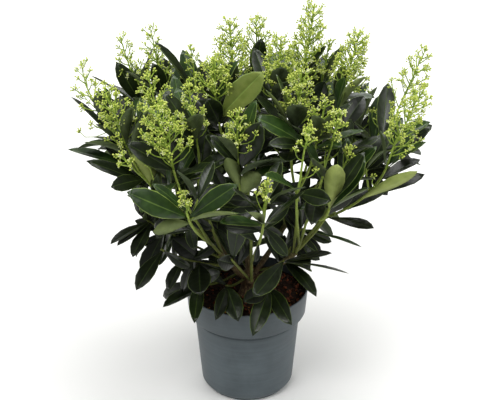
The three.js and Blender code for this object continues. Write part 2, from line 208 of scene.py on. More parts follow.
# Rings from turning the mould: the pattern is squeezed along Z, so that it runs round the pot.
rings_at = add_node(tree, "Mapping", {"Scale": (1.2, 1.2, 90.0), "Vector": place})
rings = add_node(tree, "TexNoise", {"Scale": 3.0, "Detail": 3.0, "Vector": rings_at})
blend = add_node(tree, "Math", {"operation": "MULTIPLY_ADD", 0: rings, 1: 0.45, 2: cloudy})
greys = [(0.45, "#454e53"), (0.72, "#4f595e"), (0.95, "#576166")]
tint = add_node(tree, "ValToRGB", {"stops": greys, "Fac": blend})
# Painted shade: the pot's colour grows a little darker towards its rim, where the foliage shades it.
height = add_node(tree, "SeparateXYZ", {"Vector": place}).outputs["Z"]
rim_painted_shade = add_node(tree, "MapRange", {"range": (80 * MM, 190 * MM, 0.0, 0.5), "Value": height})
tint_with_painted_shade = add_node(tree, "Mix", {"data_type": "RGBA", 0: rim_painted_shade, 6: tint, 7: linear("#363d40")})
worn = add_node(tree, "MapRange", {"range": (0.3, 0.8, 0.42, 0.6), "Value": cloudy})
# The moulded grain is about a millimetre across.
fine = add_node(tree, "TexNoise", {"Scale": 900.0, "Detail": 2.0, "Vector": place})
relief = add_node(tree, "Math", {"operation": "MULTIPLY_ADD", 0: rings, 1: 0.5, 2: fine})
bump = add_node(tree, "Bump", {"Strength": 0.12, "Distance": 0.6 * MM, "Height": relief})
feed(shader, Base_Color=tint_with_painted_shade.outputs[2], Roughness=worn, Normal=bump)
print("made", plastic.name)

# %% [markdown]
# ## The pot
# A pot could be turned from a profile with Spin. Here it is pulled up from a disc as by hand, since that
# shows where each edge comes from: the foot, the bevel, the leaning wall, the step out to the deep band, the
# rim, and then the same way down inside. A bevel rounds the edges, because moulded plastic has no sharp ones.


# %% Modelling helpers
def deselect():
    """Nothing selected and nothing in edit mode, so that the next operator acts on its own piece."""
    if bpy.context.object and bpy.context.object.mode == "EDIT":
        bpy.ops.object.mode_set(mode="OBJECT")
    bpy.ops.object.select_all(action="DESELECT")


def pick(piece, test, kind="verts"):
    """In edit mode, selects the vertices, edges or faces that pass the test."""
    mesh = bmesh.from_edit_mesh(piece.data)
    for part in (*mesh.verts, *mesh.edges, *mesh.faces):
        part.select = False
    for part in getattr(mesh, kind):
        if test(part):
            part.select_set(True)
    bmesh.update_edit_mesh(piece.data)


def apply_modifier(piece, kind, **settings):
    """Adds a modifier with its settings and applies it."""
    modifier = piece.modifiers.new(kind.lower(), kind)
    for key, value in settings.items():
        setattr(modifier, key, value)
    bpy.context.view_layer.objects.active = piece
    bpy.ops.object.modifier_apply(modifier=modifier.name)


# %% Pull the pot up from its foot
POT_SIDES = 128
POT_OUTSIDE = [  # radius, height in mm, from the foot to the rim
    (76.6, 0.0),
    (76.6, 3.4),
    (79.4, 4.0),
    (84.4, 10.6),
    (84.8, 13.0),
    (95.0, 140.0),
    (93.9, 142.2),
    (93.9, 150.2),
    (103.2, 150.4),
    (105.2, 151.2),
    (106.3, 153.4),
    (109.9, 198.4),
    (109.2, 200.0),
]
POT_INSIDE = [(107.9, 200.0), (104.3, 154.6), (91.9, 152.2), (92.2, 140.0), (82.6, 11.0), (75.6, 2.3)]

deselect()
bpy.ops.mesh.primitive_circle_add(vertices=POT_SIDES, radius=POT_OUTSIDE[0][0] * MM, fill_type="NGON")
pot = bpy.context.object
pot.name = "pot_moulded"
bpy.ops.object.mode_set(mode="EDIT")
radius, height = POT_OUTSIDE[0]
pick(pot, lambda edge: True, "edges")
for next_radius, next_height in POT_OUTSIDE[1:] + POT_INSIDE:
    bpy.ops.mesh.extrude_edges_move(TRANSFORM_OT_translate={"value": (0, 0, (next_height - height) * MM)})
    share = next_radius / radius
    bpy.ops.transform.resize(value=(share, share, 1), center_override=(0, 0, next_height * MM))
    radius, height = next_radius, next_height
bpy.ops.mesh.edge_face_add()
bpy.ops.mesh.select_all(action="SELECT")
bpy.ops.mesh.normals_make_consistent(inside=False)
bpy.ops.object.mode_set(mode="OBJECT")
apply_modifier(pot, "BEVEL", width=1.1 * MM, segments=3, limit_method="ANGLE", angle_limit=math.radians(24))
pot.data.materials.append(plastic)
bpy.ops.object.shade_smooth_by_angle(angle=math.radians(35))
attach(pot, "root")
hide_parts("pot")
print("pot faces:", len(pot.data.polygons), "height in mm:", round(pot.dimensions.z / MM, 1))

# %% [markdown]
# ## Peat and bark
# The soil is moist peat with crumbs of composted bark. Wet peat is almost black and has no gloss, and the
# crumbs on it are red-brown and catch the light. A little colour variation at the size of the crumbs tells
# the eye how coarse it is.

# %% Soil materials
peat, tree, shader = new_material("peat_moist", Roughness=0.95, Specular_IOR_Level=0.2)
browns = [(0.35, "#150e0a"), (0.55, "#2b1b12"), (0.75, "#4c2e1c")]
tint, fibres = mottle(tree, browns, Scale=160.0, Detail=6.0, Roughness=0.7)
bump = add_node(tree, "Bump", {"Strength": 0.8, "Distance": 2 * MM, "Height": fibres})
feed(shader, Base_Color=tint, Normal=bump)

crumb_finishes = []
for name, dark, light in (
    ("bark_crumb_red", "#4a2414", "#7d4225"),
    ("bark_crumb_dark", "#24150e", "#46291a"),
    ("feed_grain_amber", "#8a5a22", "#c98f3f"),
):
    crumb, tree, shader = new_material(name, Roughness=0.8, Specular_IOR_Level=0.3)
    tint, speckle = mottle(tree, [(0.35, dark), (0.65, light)], Scale=240.0, Detail=4.0)
    bump = add_node(tree, "Bump", {"Strength": 0.6, "Distance": MM, "Height": speckle})
    feed(shader, Base_Color=tint, Normal=bump)
    crumb_finishes.append(crumb)
print("soil finishes:", [crumb.name for crumb in crumb_finishes])

# %% [markdown]
# ## The soil's surface
# The soil is a short plug that fills the pot's mouth. Its top starts as a fan of triangles, is subdivided,
# and is then pushed up and down by a cloud texture, which gives lumps the size of a thumb. The push stays
# under four millimetres, so the soil keeps its level.

# %% Lumpy soil
SOIL_TOP = 180.0
SOIL_DEPTH = 26.0
SOIL_RADIUS = 105.3
SOIL_FOOT = 103.6  # the plug narrows with the pot's wall
LEVEL_EDGE = 3  # mm along the wall that stay level

deselect()
middle = (0, 0, (SOIL_TOP - SOIL_DEPTH / 2) * MM)
bpy.ops.mesh.primitive_cylinder_add(
    vertices=48, radius=SOIL_RADIUS * MM, depth=SOIL_DEPTH * MM, end_fill_type="TRIFAN", location=middle
)
soil = bpy.context.object
soil.name = "soil_surface"
bpy.ops.object.transform_apply(location=True, rotation=True, scale=True)
bpy.ops.object.mode_set(mode="EDIT")
near_top = (SOIL_TOP - 1) * MM
pick(soil, lambda vert: vert.co.z < near_top)
share = SOIL_FOOT / SOIL_RADIUS
bpy.ops.transform.resize(value=(share, share, 1), center_override=(0, 0, 0))
pick(soil, lambda face: face.normal.z > 0.9, "faces")
bpy.ops.mesh.subdivide(number_cuts=7)
bpy.ops.object.mode_set(mode="OBJECT")
lumps = bpy.data.textures.new("soil_lumps", "CLOUDS")
lumps.noise_scale = 0.016
lumps.noise_depth = 3
open_reach = (SOIL_RADIUS - LEVEL_EDGE) * MM
open_soil = [v.index for v in soil.data.vertices if v.co.z > near_top and v.co.xy.length < open_reach]
soil.vertex_groups.new(name="open_soil").add(open_soil, 1.0, "REPLACE")
lift = {"strength": 7 * MM, "mid_level": 0.5, "direction": "Z", "vertex_group": "open_soil"}
apply_modifier(soil, "DISPLACE", texture=lumps, **lift)
soil.data.materials.append(peat)
bpy.ops.object.shade_smooth_by_angle(angle=math.radians(50))
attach(soil, "root")
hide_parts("soil")
print("soil faces:", len(soil.data.polygons))

# %% [markdown]
# ## Dealing out many small things
# Crumbs, leaves and flowers repeat by the hundred. Each is modelled once. Its mesh is then copied into one
# joined mesh with NumPy: every copy has a place and three directions of its own, which also carry its size.


# %% Read a model and deal out copies
def seeded(seed):
    """A repeatable stream of numbers from 0 to 1, the same one that the CAD source grows by."""
    state = (seed * 7919 + 12345) % 2**32

    def draw():
        nonlocal state
        state = (state * 1664525 + 1013904223) % 2**32
        return state / 2**32

    draw()
    return draw


def mixed(a, b, share):
    """The value at a share of the way from a to b."""
    return a + (b - a) * share


def read_model(piece):
    """A modelled piece as arrays: its points, faces and the material slot of each face. Removes the piece."""
    mesh = piece.data
    points = np.array([v.co[:] for v in mesh.vertices])
    faces = [list(p.vertices) for p in mesh.polygons]
    slots = [p.material_index for p in mesh.polygons]
    bpy.data.objects.remove(piece)
    return points, faces, slots


def gather(points, faces, more_points, more_faces):
    """Adds a shape to the points and faces that are being gathered."""
    base = len(points)
    points.extend(more_points)
    faces.extend([[index + base for index in face] for face in more_faces])


def repeated(faces, step, count):
    """The faces of so many copies, each of which has its points a step further on."""
    return [[index + copy * step for index in face] for copy in range(count) for face in faces]


def joined_piece(name, points, faces, slots, materials, uvs=None):
    """One joined mesh from the points and faces of all its copies, in metres."""
    mesh = bpy.data.meshes.new(name)
    mesh.from_pydata(points.tolist(), [], faces)
    for material in materials:
        mesh.materials.append(material)
    mesh.polygons.foreach_set("material_index", np.array(slots, dtype=np.int32))
    mesh.polygons.foreach_set("use_smooth", np.ones(len(faces), dtype=bool))
    if uvs is not None:
        layer = mesh.uv_layers.new(name="blade")
        corners = np.array([uvs[index] for face in faces for index in face])
        layer.data.foreach_set("uv", corners.ravel())
    mesh.update()
    piece = bpy.data.objects.new(name, mesh)
    bpy.context.scene.collection.objects.link(piece)
    return piece


def deal(model, places, frames):
    """Copies a model to each place. frames says where each copy's x, y and z go, with their size."""
    points, faces, slots = model
    spread = np.einsum("pk,nkj->npj", points, np.array(frames)) + np.array(places)[:, None, :]
    return spread.reshape(-1, 3), repeated(faces, len(points), len(places)), slots * len(places)


def any_frame(draw, sizes):
    """Three directions at right angles, turned by chance, each with its size."""
    basis, _ = np.linalg.qr(np.array([[draw() - 0.5 for _ in range(3)] for _ in range(3)]))
    return basis * np.array(sizes)[:, None]


# %% Crumbs of bark on the soil
CRUMBS = [(0, 230, (7.5, 4.6, 3.0)), (1, 260, (6.5, 4.2, 3.0)), (2, 42, (2.6, 2.5, 2.4))]  # finish, count, mm
CRUMB_SIZES = (0.5, 1.25)  # shares of the size above
CRUMB_REACH = 101  # mm from the pot's axis
CRUMB_LIFT = 0.6  # mm by which a crumb's middle stands over the soil

deselect()
bpy.ops.mesh.primitive_cube_add(size=1)
crumb_model = bpy.context.object
bpy.ops.object.mode_set(mode="EDIT")
bpy.ops.mesh.bevel(offset=0.22, segments=1, affect="EDGES")
pick(crumb_model, lambda vert: vert.co.x > 0.3)
bpy.ops.transform.resize(value=(1, 0.6, 0.7), center_override=(0.5, 0.1, 0))
bpy.ops.object.mode_set(mode="OBJECT")
crumb_shape = read_model(crumb_model)

soil_tree = BVHTree.FromObject(soil, bpy.context.evaluated_depsgraph_get())
draw = seeded(77)
for kind, count, sizes in CRUMBS:
    places, frames = [], []
    for _ in range(count):
        turn, reach, size = draw() * 2 * math.pi, math.sqrt(draw()) * CRUMB_REACH, mixed(*CRUMB_SIZES, draw())
        above = Vector((reach * math.cos(turn) * MM, reach * math.sin(turn) * MM, 0.3))
        ground = soil_tree.ray_cast(above, Vector((0, 0, -1)))[0]
        places.append([ground.x, ground.y, ground.z + CRUMB_LIFT * MM])
        frames.append(any_frame(draw, [size * value * MM for value in sizes]))
    points, faces, slots = deal(crumb_shape, places, frames)
    piece = joined_piece(f"soil_crumbs_{kind}", points, faces, slots, [crumb_finishes[kind]])
    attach(piece, "root")
    print(piece.name, "faces:", len(piece.data.polygons))

# %% [markdown]
# ## The rule that the plant grows by
# The CAD source grows the plant by a short rule: stems fork from a root stock, boughs spring near each fork,
# and shoots curve from a bough's end to the place where a ruff of leaves gathers, a given way below the tip
# of its flower head. The same numbers are written here again in millimetres, so that the fine plant stands
# where the coarse solids are.

# %% Named sizes
GAP = 0.4
STOCK = {"height": 44, "radius": 11.5, "flare": 8, "waist": 0.45, "lean": (3, 2), "steps": 5, "bow": 0.5}
STEM = {"foot": 5.4, "tip": 3.9, "start": 24, "lift": 0.35, "bow": 0.45}
BOUGH = {"foot": 3.1, "spacing": 8, "share": 0.5, "lift": 0.25, "bow": 0.4}
SHOOT = {"foot": 2.7, "tip": 2.1, "steps": 3, "spokes": 4, "branch": 0.12}
SHOOT |= {"lift": 0.8, "bow": 0.5, "low_bow": 0.4}
HEAD = {"lean": 0.00125, "bare": 0.28, "girth": 37, "least": 0.45, "most": 1.05, "full_size": 220, "rings": 5}
HEAD |= {"hollow": 0.72, "tufts": (0.8, 1.15), "twist": 0.7}
HEAD |= {"shoulder": 0.75, "roundness": 0.4, "taper": 0.15}
LEAF = {"length": 102, "width": 37, "sizes": (0.78, 1.12), "top_size": 0.86, "breadths": (0.86, 1.14)}
LEAF |= {"arches": (0.04, 0.21), "clear": 0.8, "neck": 0.12, "thickness": 0.016}
RUFF = {"size": 8, "top": 0.985, "spacing": 0.03, "below": 0.76, "reach": 0.4}
SPLAY = {"crown": 80, "skirt": 104, "range": 50, "spread": 16}
LEAVES = {"tall": 10, "short": 6, "tall_from": 100}
SWING = 0.5
GOLDEN = math.radians(137.508)
LEAF_TURNS = (0, 0.4, -0.4, 0.8)

FORKS = {
    "front_left": (-46, -50, 289),
    "front_right": (84, -46, 288),
    "front": (8, -60, 240),
    "back_left": (-72, 56, 288),
    "back_right": (72, 60, 292),
    "back": (-4, 92, 280),
    "middle": (4, 8, 322),
}
CROWN = {  # fork, then the tip of each flower head and its height above its leaves
    "left": ("front_left", (-276, 45, 604, 130), (-228, -60, 604, 130), (-140, -30, 484, 60)),
    "front_left": (
        "front_left", (-140, -160, 630, 150), (-195, -150, 514, 110, 0.0033), (-92, -236, 492, 50),
    ),
    "inner_left": ("front_left", (-156, -50, 615, 110), (-91, -90, 611, 110)),
    "front": ("front", (-16, -140, 616, 140), (28, -250, 514, 80)),
    "front_right": ("front_right", (138, -170, 594, 125), (90, -222, 590, 120), (140, -200, 516, 80)),
    "inner_right": ("front_right", (86, -80, 630, 120), (122, -118, 600, 90)),
    "right_front": ("front_right", (272, -108, 608, 145), (160, -130, 520, 70)),
    "right": ("front_right", (290, 0, 640, 170), (250, 66, 530, 90)),
    "inner_back_right": ("back_right", (184, 22, 662, 135), (144, 110, 624, 110)),
    "top_right": ("back_right", (112, 60, 697, 135), (17, 130, 660, 120)),
    "right_back": ("back_right", (228, 118, 560, 110), (196, 190, 540, 110), (226, 150, 470, 70)),
    "middle": ("middle", (-54, -20, 630, 105), (56, 16, 655, 115)),
    "inner_back": ("middle", (-28, 70, 669, 125), (-98, 108, 612, 105)),
    "back_left": ("back_left", (-222, 130, 626, 125), (-166, 90, 654, 130), (-236, 128, 496, 80)),
    "back_far_left": ("back_left", (-172, 212, 580, 120), (-110, 256, 552, 110)),
    "back": ("back", (-50, 196, 604, 120), (-10, 270, 548, 110)),
    "back_far_right": ("back", (112, 196, 604, 120), (100, 264, 540, 110), (156, 226, 500, 70)),
}
SKIRT = {  # stem, share along it, place of the ruff, leaves
    "low_left": ("front_left", 0.75, (-172, -24, 340), 9),
    "low_front_left": ("front_left", 0.5, (-146, -64, 304), 8),
    "low_front": ("front", 0.8, (-24, -148, 330), 7),
    "low_front_right": ("front_right", 0.5, (62, -100, 302), 6),
    "low_right": ("front_right", 0.8, (96, -10, 316), 7),
    "low_back_left": ("back_left", 0.6, (-118, 104, 342), 8),
    "low_back_right": ("back_right", 0.6, (104, 110, 336), 8),
    "low_back": ("back", 0.6, (0, 166, 332), 8),
    "rim_left": ("back_left", 0.15, (-96, -44, 228), 7),
    "rim_front_left": ("front_left", 0.1, (-36, -58, 230), 6),
    "rim_front_right": ("front_right", 0.1, (40, -60, 228), 6),
    "rim_right": ("back_right", 0.15, (66, 18, 238), 6),
    "rim_back": ("back", 0.15, (-16, 70, 236), 6),
}
print("flower heads:", sum(len(heads) - 1 for heads in CROWN.values()), "low shoots:", len(SKIRT))

# %% Curves and directions
UP = Vector((0, 0, 1))


class Bend:
    """A quadratic curve from start to end, which comes in along the direction arrive."""

    def __init__(self, start, end, arrive, bow):
        self.start, self.end = start.copy(), end.copy()
        self.control = end - arrive * (bow * (end - start).length)

    def point(self, t):
        return self.start * (1 - t) ** 2 + self.control * (2 * t * (1 - t)) + self.end * t**2

    def tangent(self, t):
        return ((self.control - self.start) * (1 - t) + (self.end - self.control) * t).normalized()


def lifted(way, lift):
    """The direction turned a little towards the sky."""
    return (way + UP * lift).normalized()


def round_axis(axis, turn):
    """The direction at a turn round an axis."""
    side = axis.cross(UP)
    side = side.normalized() if side.length > 1e-3 else Vector((1, 0, 0))
    return side * math.cos(turn) + axis.cross(side) * math.sin(turn)


def on_shoot(curve, t):
    """A point of a shoot's axis as the CAD has it, in three straight steps."""
    step = min(SHOOT["steps"] - 1, int(t * SHOOT["steps"]))
    first, last = curve.point(step / SHOOT["steps"]), curve.point((step + 1) / SHOOT["steps"])
    return first.lerp(last, t * SHOOT["steps"] - step)


# %% Grow the stems and boughs
stock_top = Vector((*STOCK["lean"], SOIL_TOP + GAP + STOCK["height"]))
stems, boughs = {}, {}
for name, place in FORKS.items():
    end = Vector(place)
    lean = (end - stock_top).normalized()
    start = Vector((stock_top.x, stock_top.y, SOIL_TOP + STEM["start"])) + lean * BOUGH["foot"]
    curve = Bend(start, end, lifted(lean, STEM["lift"]), STEM["bow"])
    stems[name] = {"curve": curve, "length": (end - start).length, "boughs": 0}


def grow_bough(name, fork, target):
    """A bough from a fork to the foot of a mass. Each further one springs a little lower on the stem."""
    stem = stems[fork]
    start = stem["curve"].point(1 - BOUGH["spacing"] * stem["boughs"] / stem["length"])
    stem["boughs"] += 1
    end = start.lerp(target, BOUGH["share"])
    arrive = lifted((target - start).normalized(), BOUGH["lift"])
    boughs[name] = Bend(start, end, arrive, BOUGH["bow"])
    return end, arrive


print("stem lengths in mm:", {name: round(stem["length"]) for name, stem in stems.items()})


# %% Plan the leaves of one shoot
def plan_leaves(curve, count, splay, draw):
    """From the tip down: a ruff round the tip, then single leaves along the shoot."""
    leaves = []
    start = draw() * 2 * math.pi
    ruff = min(count, RUFF["size"])
    for i in range(count):
        tilt, swing, size, breadth, sag = (draw() for _ in range(5))
        lower = max(0, i - ruff + 1) / max(1, count - ruff)
        t = RUFF["top"] - RUFF["spacing"] * i if i < ruff else RUFF["below"] - RUFF["reach"] * lower
        degrees = mixed(splay - SPLAY["range"], splay, min(1, i / ruff)) + SPLAY["spread"] * (tilt - 0.5)
        length = LEAF["length"] * mixed(*LEAF["sizes"], size) * (LEAF["top_size"] if i < 2 else 1)
        leaves.append(
            {
                "root": on_shoot(curve, t),
                "axis": curve.tangent(t),
                "turn": start + i * GOLDEN + SWING * (swing - 0.5),
                "angle": math.radians(degrees),
                "length": length,
                "width": LEAF["width"] * mixed(*LEAF["breadths"], breadth) * (length / LEAF["length"]),
                "arch": mixed(*LEAF["arches"], sag),
                "rank": i,
            }
        )
    return leaves


# %% Grow the shoots and flower heads
# Three low shoots spring lower on their bough than the solids have them, and run straighter to their place.
SPRINGS = {("front_left", 2): 0.35, ("front", 1): 0.45, ("front_right", 1): 0.3}  # share of their bough
STRAIGHT = 0.15  # bow of such a shoot

masses = []  # each with its name and its shoots
for index, (name, (fork, *heads)) in enumerate(CROWN.items()):
    tips = [Vector(head[:3]) for head in heads]
    ruffs = []
    for head, tip in zip(heads, tips):
        inset = 1 - (head[4] if len(head) > 4 else HEAD["lean"]) * head[3]
        ruffs.append(Vector((inset * tip.x, inset * tip.y, tip.z - head[3])))
    end, arrive = grow_bough(name, fork, sum(ruffs, Vector()) / len(ruffs))
    shoots = []
    for order, (tip, ruff) in enumerate(zip(tips, ruffs)):
        draw = seeded(100 * (index + 1) + order)
        way = (tip - ruff).normalized()
        start = on_shoot(shoots[0]["curve"], SHOOT["branch"] * order) if order else end + arrive * GAP
        low = SPRINGS.get((name, order))
        if low:
            start = boughs[name].point(low)
        curve = Bend(start, ruff, way, STRAIGHT if low else SHOOT["bow"])
        tufts = [[draw() for _ in range(SHOOT["spokes"])] for _ in range(HEAD["rings"])]
        count = LEAVES["tall"] if tip.z - ruff.z > LEAVES["tall_from"] else LEAVES["short"]
        leaves = plan_leaves(curve, count, SPLAY["crown"], draw)
        shoots.append({"curve": curve, "tip": tip, "way": way, "tufts": tufts, "leaves": leaves})
    masses.append({"name": "mass_" + name, "shoots": shoots})

for index, (name, (fork, t, place, count)) in enumerate(SKIRT.items()):
    draw = seeded(5000 + 100 * index)
    ruff = Vector(place)
    arrive = lifted(Vector((ruff.x, ruff.y, 0)).normalized(), SHOOT["lift"])
    curve = Bend(stems[fork]["curve"].point(t), ruff, arrive, SHOOT["low_bow"])
    leaves = plan_leaves(curve, count, SPLAY["skirt"], draw)
    masses.append({"name": "mass_" + name, "shoots": [{"curve": curve, "tip": None, "leaves": leaves}]})
assert sorted(mass["name"] for mass in masses) == MASSES
print("shoots:", sum(len(mass["shoots"]) for mass in masses))

# %% [markdown]
# ## Bark
# Skimmia's old wood has thin grey-brown bark with fine cracks along the limb and pale corky dots. Towards the
# shoots it is still green. The colour follows the height above the soil, because that is where the age is.

# %% Bark and green wood
FISSURE_STOPS = (0.3, 0.5, 0.72)  # where a crack's dark floor, its sides and the open bark begin


def wood_material(name, low, high, old_tones, young_tones, crack):
    """Wood whose colour goes from old tones at height low to young ones at height high, in mm."""
    material, tree, shader = new_material(name, Roughness=0.72, Specular_IOR_Level=0.35)
    place = add_node(tree, "TexCoord", {}).outputs["Object"]
    along = add_node(tree, "Mapping", {"Scale": (1.0, 1.0, 0.22), "Vector": place})
    fissures = add_node(tree, "TexNoise", {"Scale": 420.0, "Detail": 5.0, "Roughness": 0.65, "Vector": along})
    height = add_node(tree, "SeparateXYZ", {"Vector": place}).outputs["Z"]
    age = add_node(tree, "MapRange", {"range": (low * MM, high * MM), "Value": height})
    old, young = (
        add_node(tree, "ValToRGB", {"stops": [*zip(FISSURE_STOPS, tones)], "Fac": fissures})
        for tones in (old_tones, young_tones)
    )
    tone = add_node(tree, "Mix", {"data_type": "RGBA", 0: age, 6: old, 7: young})
    # Corky dots stand about 4 mm apart.
    dots = add_node(tree, "TexVoronoi", {"Scale": 260.0, "Randomness": 1.0, "Vector": along})
    dot = add_node(tree, "Math", {"operation": "LESS_THAN", 0: dots.outputs["Distance"], 1: 0.14})
    dotted = add_node(tree, "Mix", {"data_type": "RGBA", 0: dot, 6: tone.outputs[2], 7: linear("#9a8a62")})
    bump = add_node(tree, "Bump", {"Strength": crack, "Distance": MM, "Height": fissures})
    feed(shader, Base_Color=dotted.outputs[2], Normal=bump)
    return material


old_bark, young_bark = ("#2c2016", "#57432c", "#7d6744"), ("#35341a", "#505428", "#6c7038")
bark = wood_material("skimmia_bark_grown", 215, 350, old_bark, young_bark, 0.7)
old_green, young_green = ("#3f4519", "#565d23", "#6c7331"), ("#647a2a", "#82953a", "#9dab4c")
green_wood = wood_material("skimmia_green_wood_grown", 300, 430, old_green, young_green, 0.2)
print("made", bark.name, "and", green_wood.name)

# %% [markdown]
# ## Trunk and boughs
# A limb is a bevelled curve: its points carry the limb's own radius, so that it tapers and swells at the
# nodes. The root stock and its stems are made one skin by a voxel remesh, which rounds the crotches as growth
# does, and a fine cloud texture then raises the bark.


# %% Limbs as bevelled curves
def add_limb(name, stations, sides):
    """A mesh limb through (point, radius) stations in mm, from a Bezier curve with a round bevel."""
    deselect()
    bpy.ops.curve.primitive_bezier_curve_add()
    limb = bpy.context.object
    limb.name = name
    points = limb.data.splines[0].bezier_points
    points.add(len(stations) - 2)
    for point, (place, radius) in zip(points, stations):
        point.co = place * MM
        point.handle_left_type = point.handle_right_type = "AUTO"
        point.radius = radius
    limb.data.bevel_depth = MM
    limb.data.bevel_resolution = sides // 4
    limb.data.resolution_u = 6
    limb.data.use_fill_caps = True
    bpy.ops.object.convert(target="MESH")
    return bpy.context.object


def join_limbs(limbs, name):
    """Joins the pieces to one with that name."""
    deselect()
    for limb in limbs:
        limb.select_set(True)
    bpy.context.view_layer.objects.active = limbs[0]
    bpy.ops.object.join()
    limbs[0].name = name
    return limbs[0]


def limb_stations(curve, girths, steps, swellings):
    """Stations along a tapering limb. swellings holds, by station, how far a node stands out in mm."""
    stations = []
    for i in range(steps + 1):
        stations.append((curve.point(i / steps), mixed(*girths, i / steps) + swellings.get(i, 0)))
    return stations


def relieve(piece, name, grain, strength, middle):
    """Raises a fine cloud texture on the piece, and clears the piece's materials."""
    clouds = bpy.data.textures.new(name, "CLOUDS")
    clouds.noise_scale = grain
    apply_modifier(piece, "DISPLACE", texture=clouds, strength=strength, mid_level=middle)
    piece.data.materials.clear()


# %% The root stock and stems
STOCK_SINK = 3  # mm that the foot lies under the soil
STOCK_NECK = 0.8  # how far the stock narrows where the stems fork
STEM_STEPS = 8
STEM_SWELLINGS = {3: 0.66, 6: 0.66, 8: 1.2}

stock_foot = Vector((0, 0, SOIL_TOP - STOCK_SINK))
upwards = (stock_top - Vector((0, 0, SOIL_TOP + STOCK["height"] / 2))).normalized()
stock_line = Bend(stock_foot, stock_top, upwards, STOCK["bow"])
stations = []
for i in range(STOCK["steps"] + 1):
    along = i / STOCK["steps"]
    flare = STOCK["flare"] * max(0, 1 - along / STOCK["waist"]) ** 2
    stations.append((stock_line.point(along), (STOCK["radius"] + flare) * (STOCK_NECK if along == 1 else 1)))
wood = [add_limb("root_stock_wood", stations, 20)]
for name, stem in stems.items():
    stations = limb_stations(stem["curve"], (STEM["foot"], STEM["tip"]), STEM_STEPS, STEM_SWELLINGS)
    wood.append(add_limb("stem_wood_" + name, stations, 12))
stock = join_limbs(wood, "stock_and_stems")
apply_modifier(stock, "REMESH", mode="VOXEL", voxel_size=1.1 * MM)
apply_modifier(stock, "SMOOTH", factor=0.6, iterations=4)
relieve(stock, "bark_ridges", 0.0035, 1.1 * MM, 0.55)
stock.data.materials.append(bark)
bpy.ops.object.shade_smooth()
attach(stock, "root")
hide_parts("root_stock", *["stem_" + name for name in stems])
print("stock and stems faces:", len(stock.data.polygons))

# %% The boughs
BOUGH_GIRTHS = (2.55, 2.3)  # radius in mm at the foot and at the tip, a little slimmer than the solids
BOUGH_STEPS = 7
BOUGH_SWELLINGS = {2: 0.4, 5: 0.4}

wood = []
for name, curve in boughs.items():
    stations = limb_stations(curve, BOUGH_GIRTHS, BOUGH_STEPS, BOUGH_SWELLINGS)
    wood.append(add_limb("bough_wood_" + name, stations, 8))
bough_piece = join_limbs(wood, "boughs_green")
relieve(bough_piece, "rind", 0.006, 0.5 * MM, 0.5)
bough_piece.data.materials.append(green_wood)
bpy.ops.object.shade_smooth()
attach(bough_piece, "root")
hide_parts(*["bough_" + name for name in boughs])
print("bough faces:", len(bough_piece.data.polygons))

# %% [markdown]
# ## Leaves
# A skimmia leaf is thick and leathery, with a waxy upper side that mirrors the sky, a dull pale underside, a
# sunk yellow-green midrib and a thin pale margin. Margin and midrib are strips of faces with a finish of
# their own, which stay sharp where a pattern on hundreds of joined leaves would smear.


# %% Leaf finishes
def leaf_material(name, dark, light, roughness, coat):
    """A leaf's surface: two close tones, side veins as relief, and a wax coat."""
    material, tree, shader = new_material(
        name, IOR=1.42, Coat_Weight=coat, Coat_Roughness=0.26, Coat_IOR=1.4, Specular_IOR_Level=0.25
    )
    tint, blotch = mottle(tree, [(0.35, dark), (0.68, light)], Scale=60.0, Detail=3.0)
    blade = add_node(tree, "UVMap", {"uv_map": "blade"})
    along, across, _ = add_node(tree, "SeparateXYZ", {"Vector": blade}).outputs
    # Side veins run from the midrib towards the tip: the distance along the leaf less that from the midrib.
    off = add_node(tree, "Math", {"operation": "SUBTRACT", 0: across, 1: 0.5})
    out = add_node(tree, "Math", {"operation": "ABSOLUTE", 0: off})
    slant = add_node(tree, "Math", {"operation": "MULTIPLY_ADD", 0: out, 1: -0.32, 2: along})
    count = add_node(tree, "Math", {"operation": "MULTIPLY", 0: slant, 1: 52.0})
    veins = add_node(tree, "Math", {"operation": "SINE", 0: count})
    bump = add_node(tree, "Bump", {"Strength": 0.12, "Distance": 0.6 * MM, "Height": veins})
    ends = (0.3, 0.7, roughness - 0.06, roughness + 0.08)
    gloss = add_node(tree, "MapRange", {"range": ends, "Value": blotch})
    feed(shader, Base_Color=tint, Normal=bump, Roughness=gloss)
    return material


TINTS = {  # tone of a spray: two greens each for the blade, the midrib, the margin and the underside
    # The deep tone is that of old leaves and also painted shade; its midrib, margin and underside are dimmed
    # with it.
    "deep": ("#0e1409", "#161d0c", "#28351a", "#35441d", "#3a481d", "#4e5d28", "#39432a", "#48543a"),
    "dark": ("#131c0a", "#1d290f", "#303f19", "#3f5020", "#4c5d27", "#667a36", "#465233", "#58653f"),
    "mid": ("#1f3213", "#2c4418", "#445a27", "#587030", "#667c35", "#86994a", "#5f6c3e", "#74814c"),
    "fresh": ("#6c7d37", "#828f46", "#7a9044", "#8fa654", "#7b8f4c", "#93a660", "#889550", "#9fac60"),
}
LEAF_FINISHES = (  # name, roughness, wax coat
    ("upper_{}_waxy", 0.36, 0.42),
    ("midrib_{}", 0.4, 0.3),
    ("margin_{}", 0.4, 0.3),
    ("underside_{}_dull", 0.55, 0.0),
)
leaf_finishes = {}
for name, tones in TINTS.items():
    leaf_finishes[name] = [
        leaf_material("leaf_" + finish.format(name), *tones[2 * i : 2 * i + 2], roughness, coat)
        for i, (finish, roughness, coat) in enumerate(LEAF_FINISHES)
    ]
print("leaf tones:", list(TINTS))

# %% [markdown]
# ## One leaf by hand
# The upper side starts as a grid of seven by six faces. Its columns are moved to where the midrib and margin
# begin, and every row is narrowed to the leaf's outline. The underside is a copy with fewer columns, turned
# over. Joined and merged along the margin the two make a closed, lens-thin leaf of a few dozen faces.

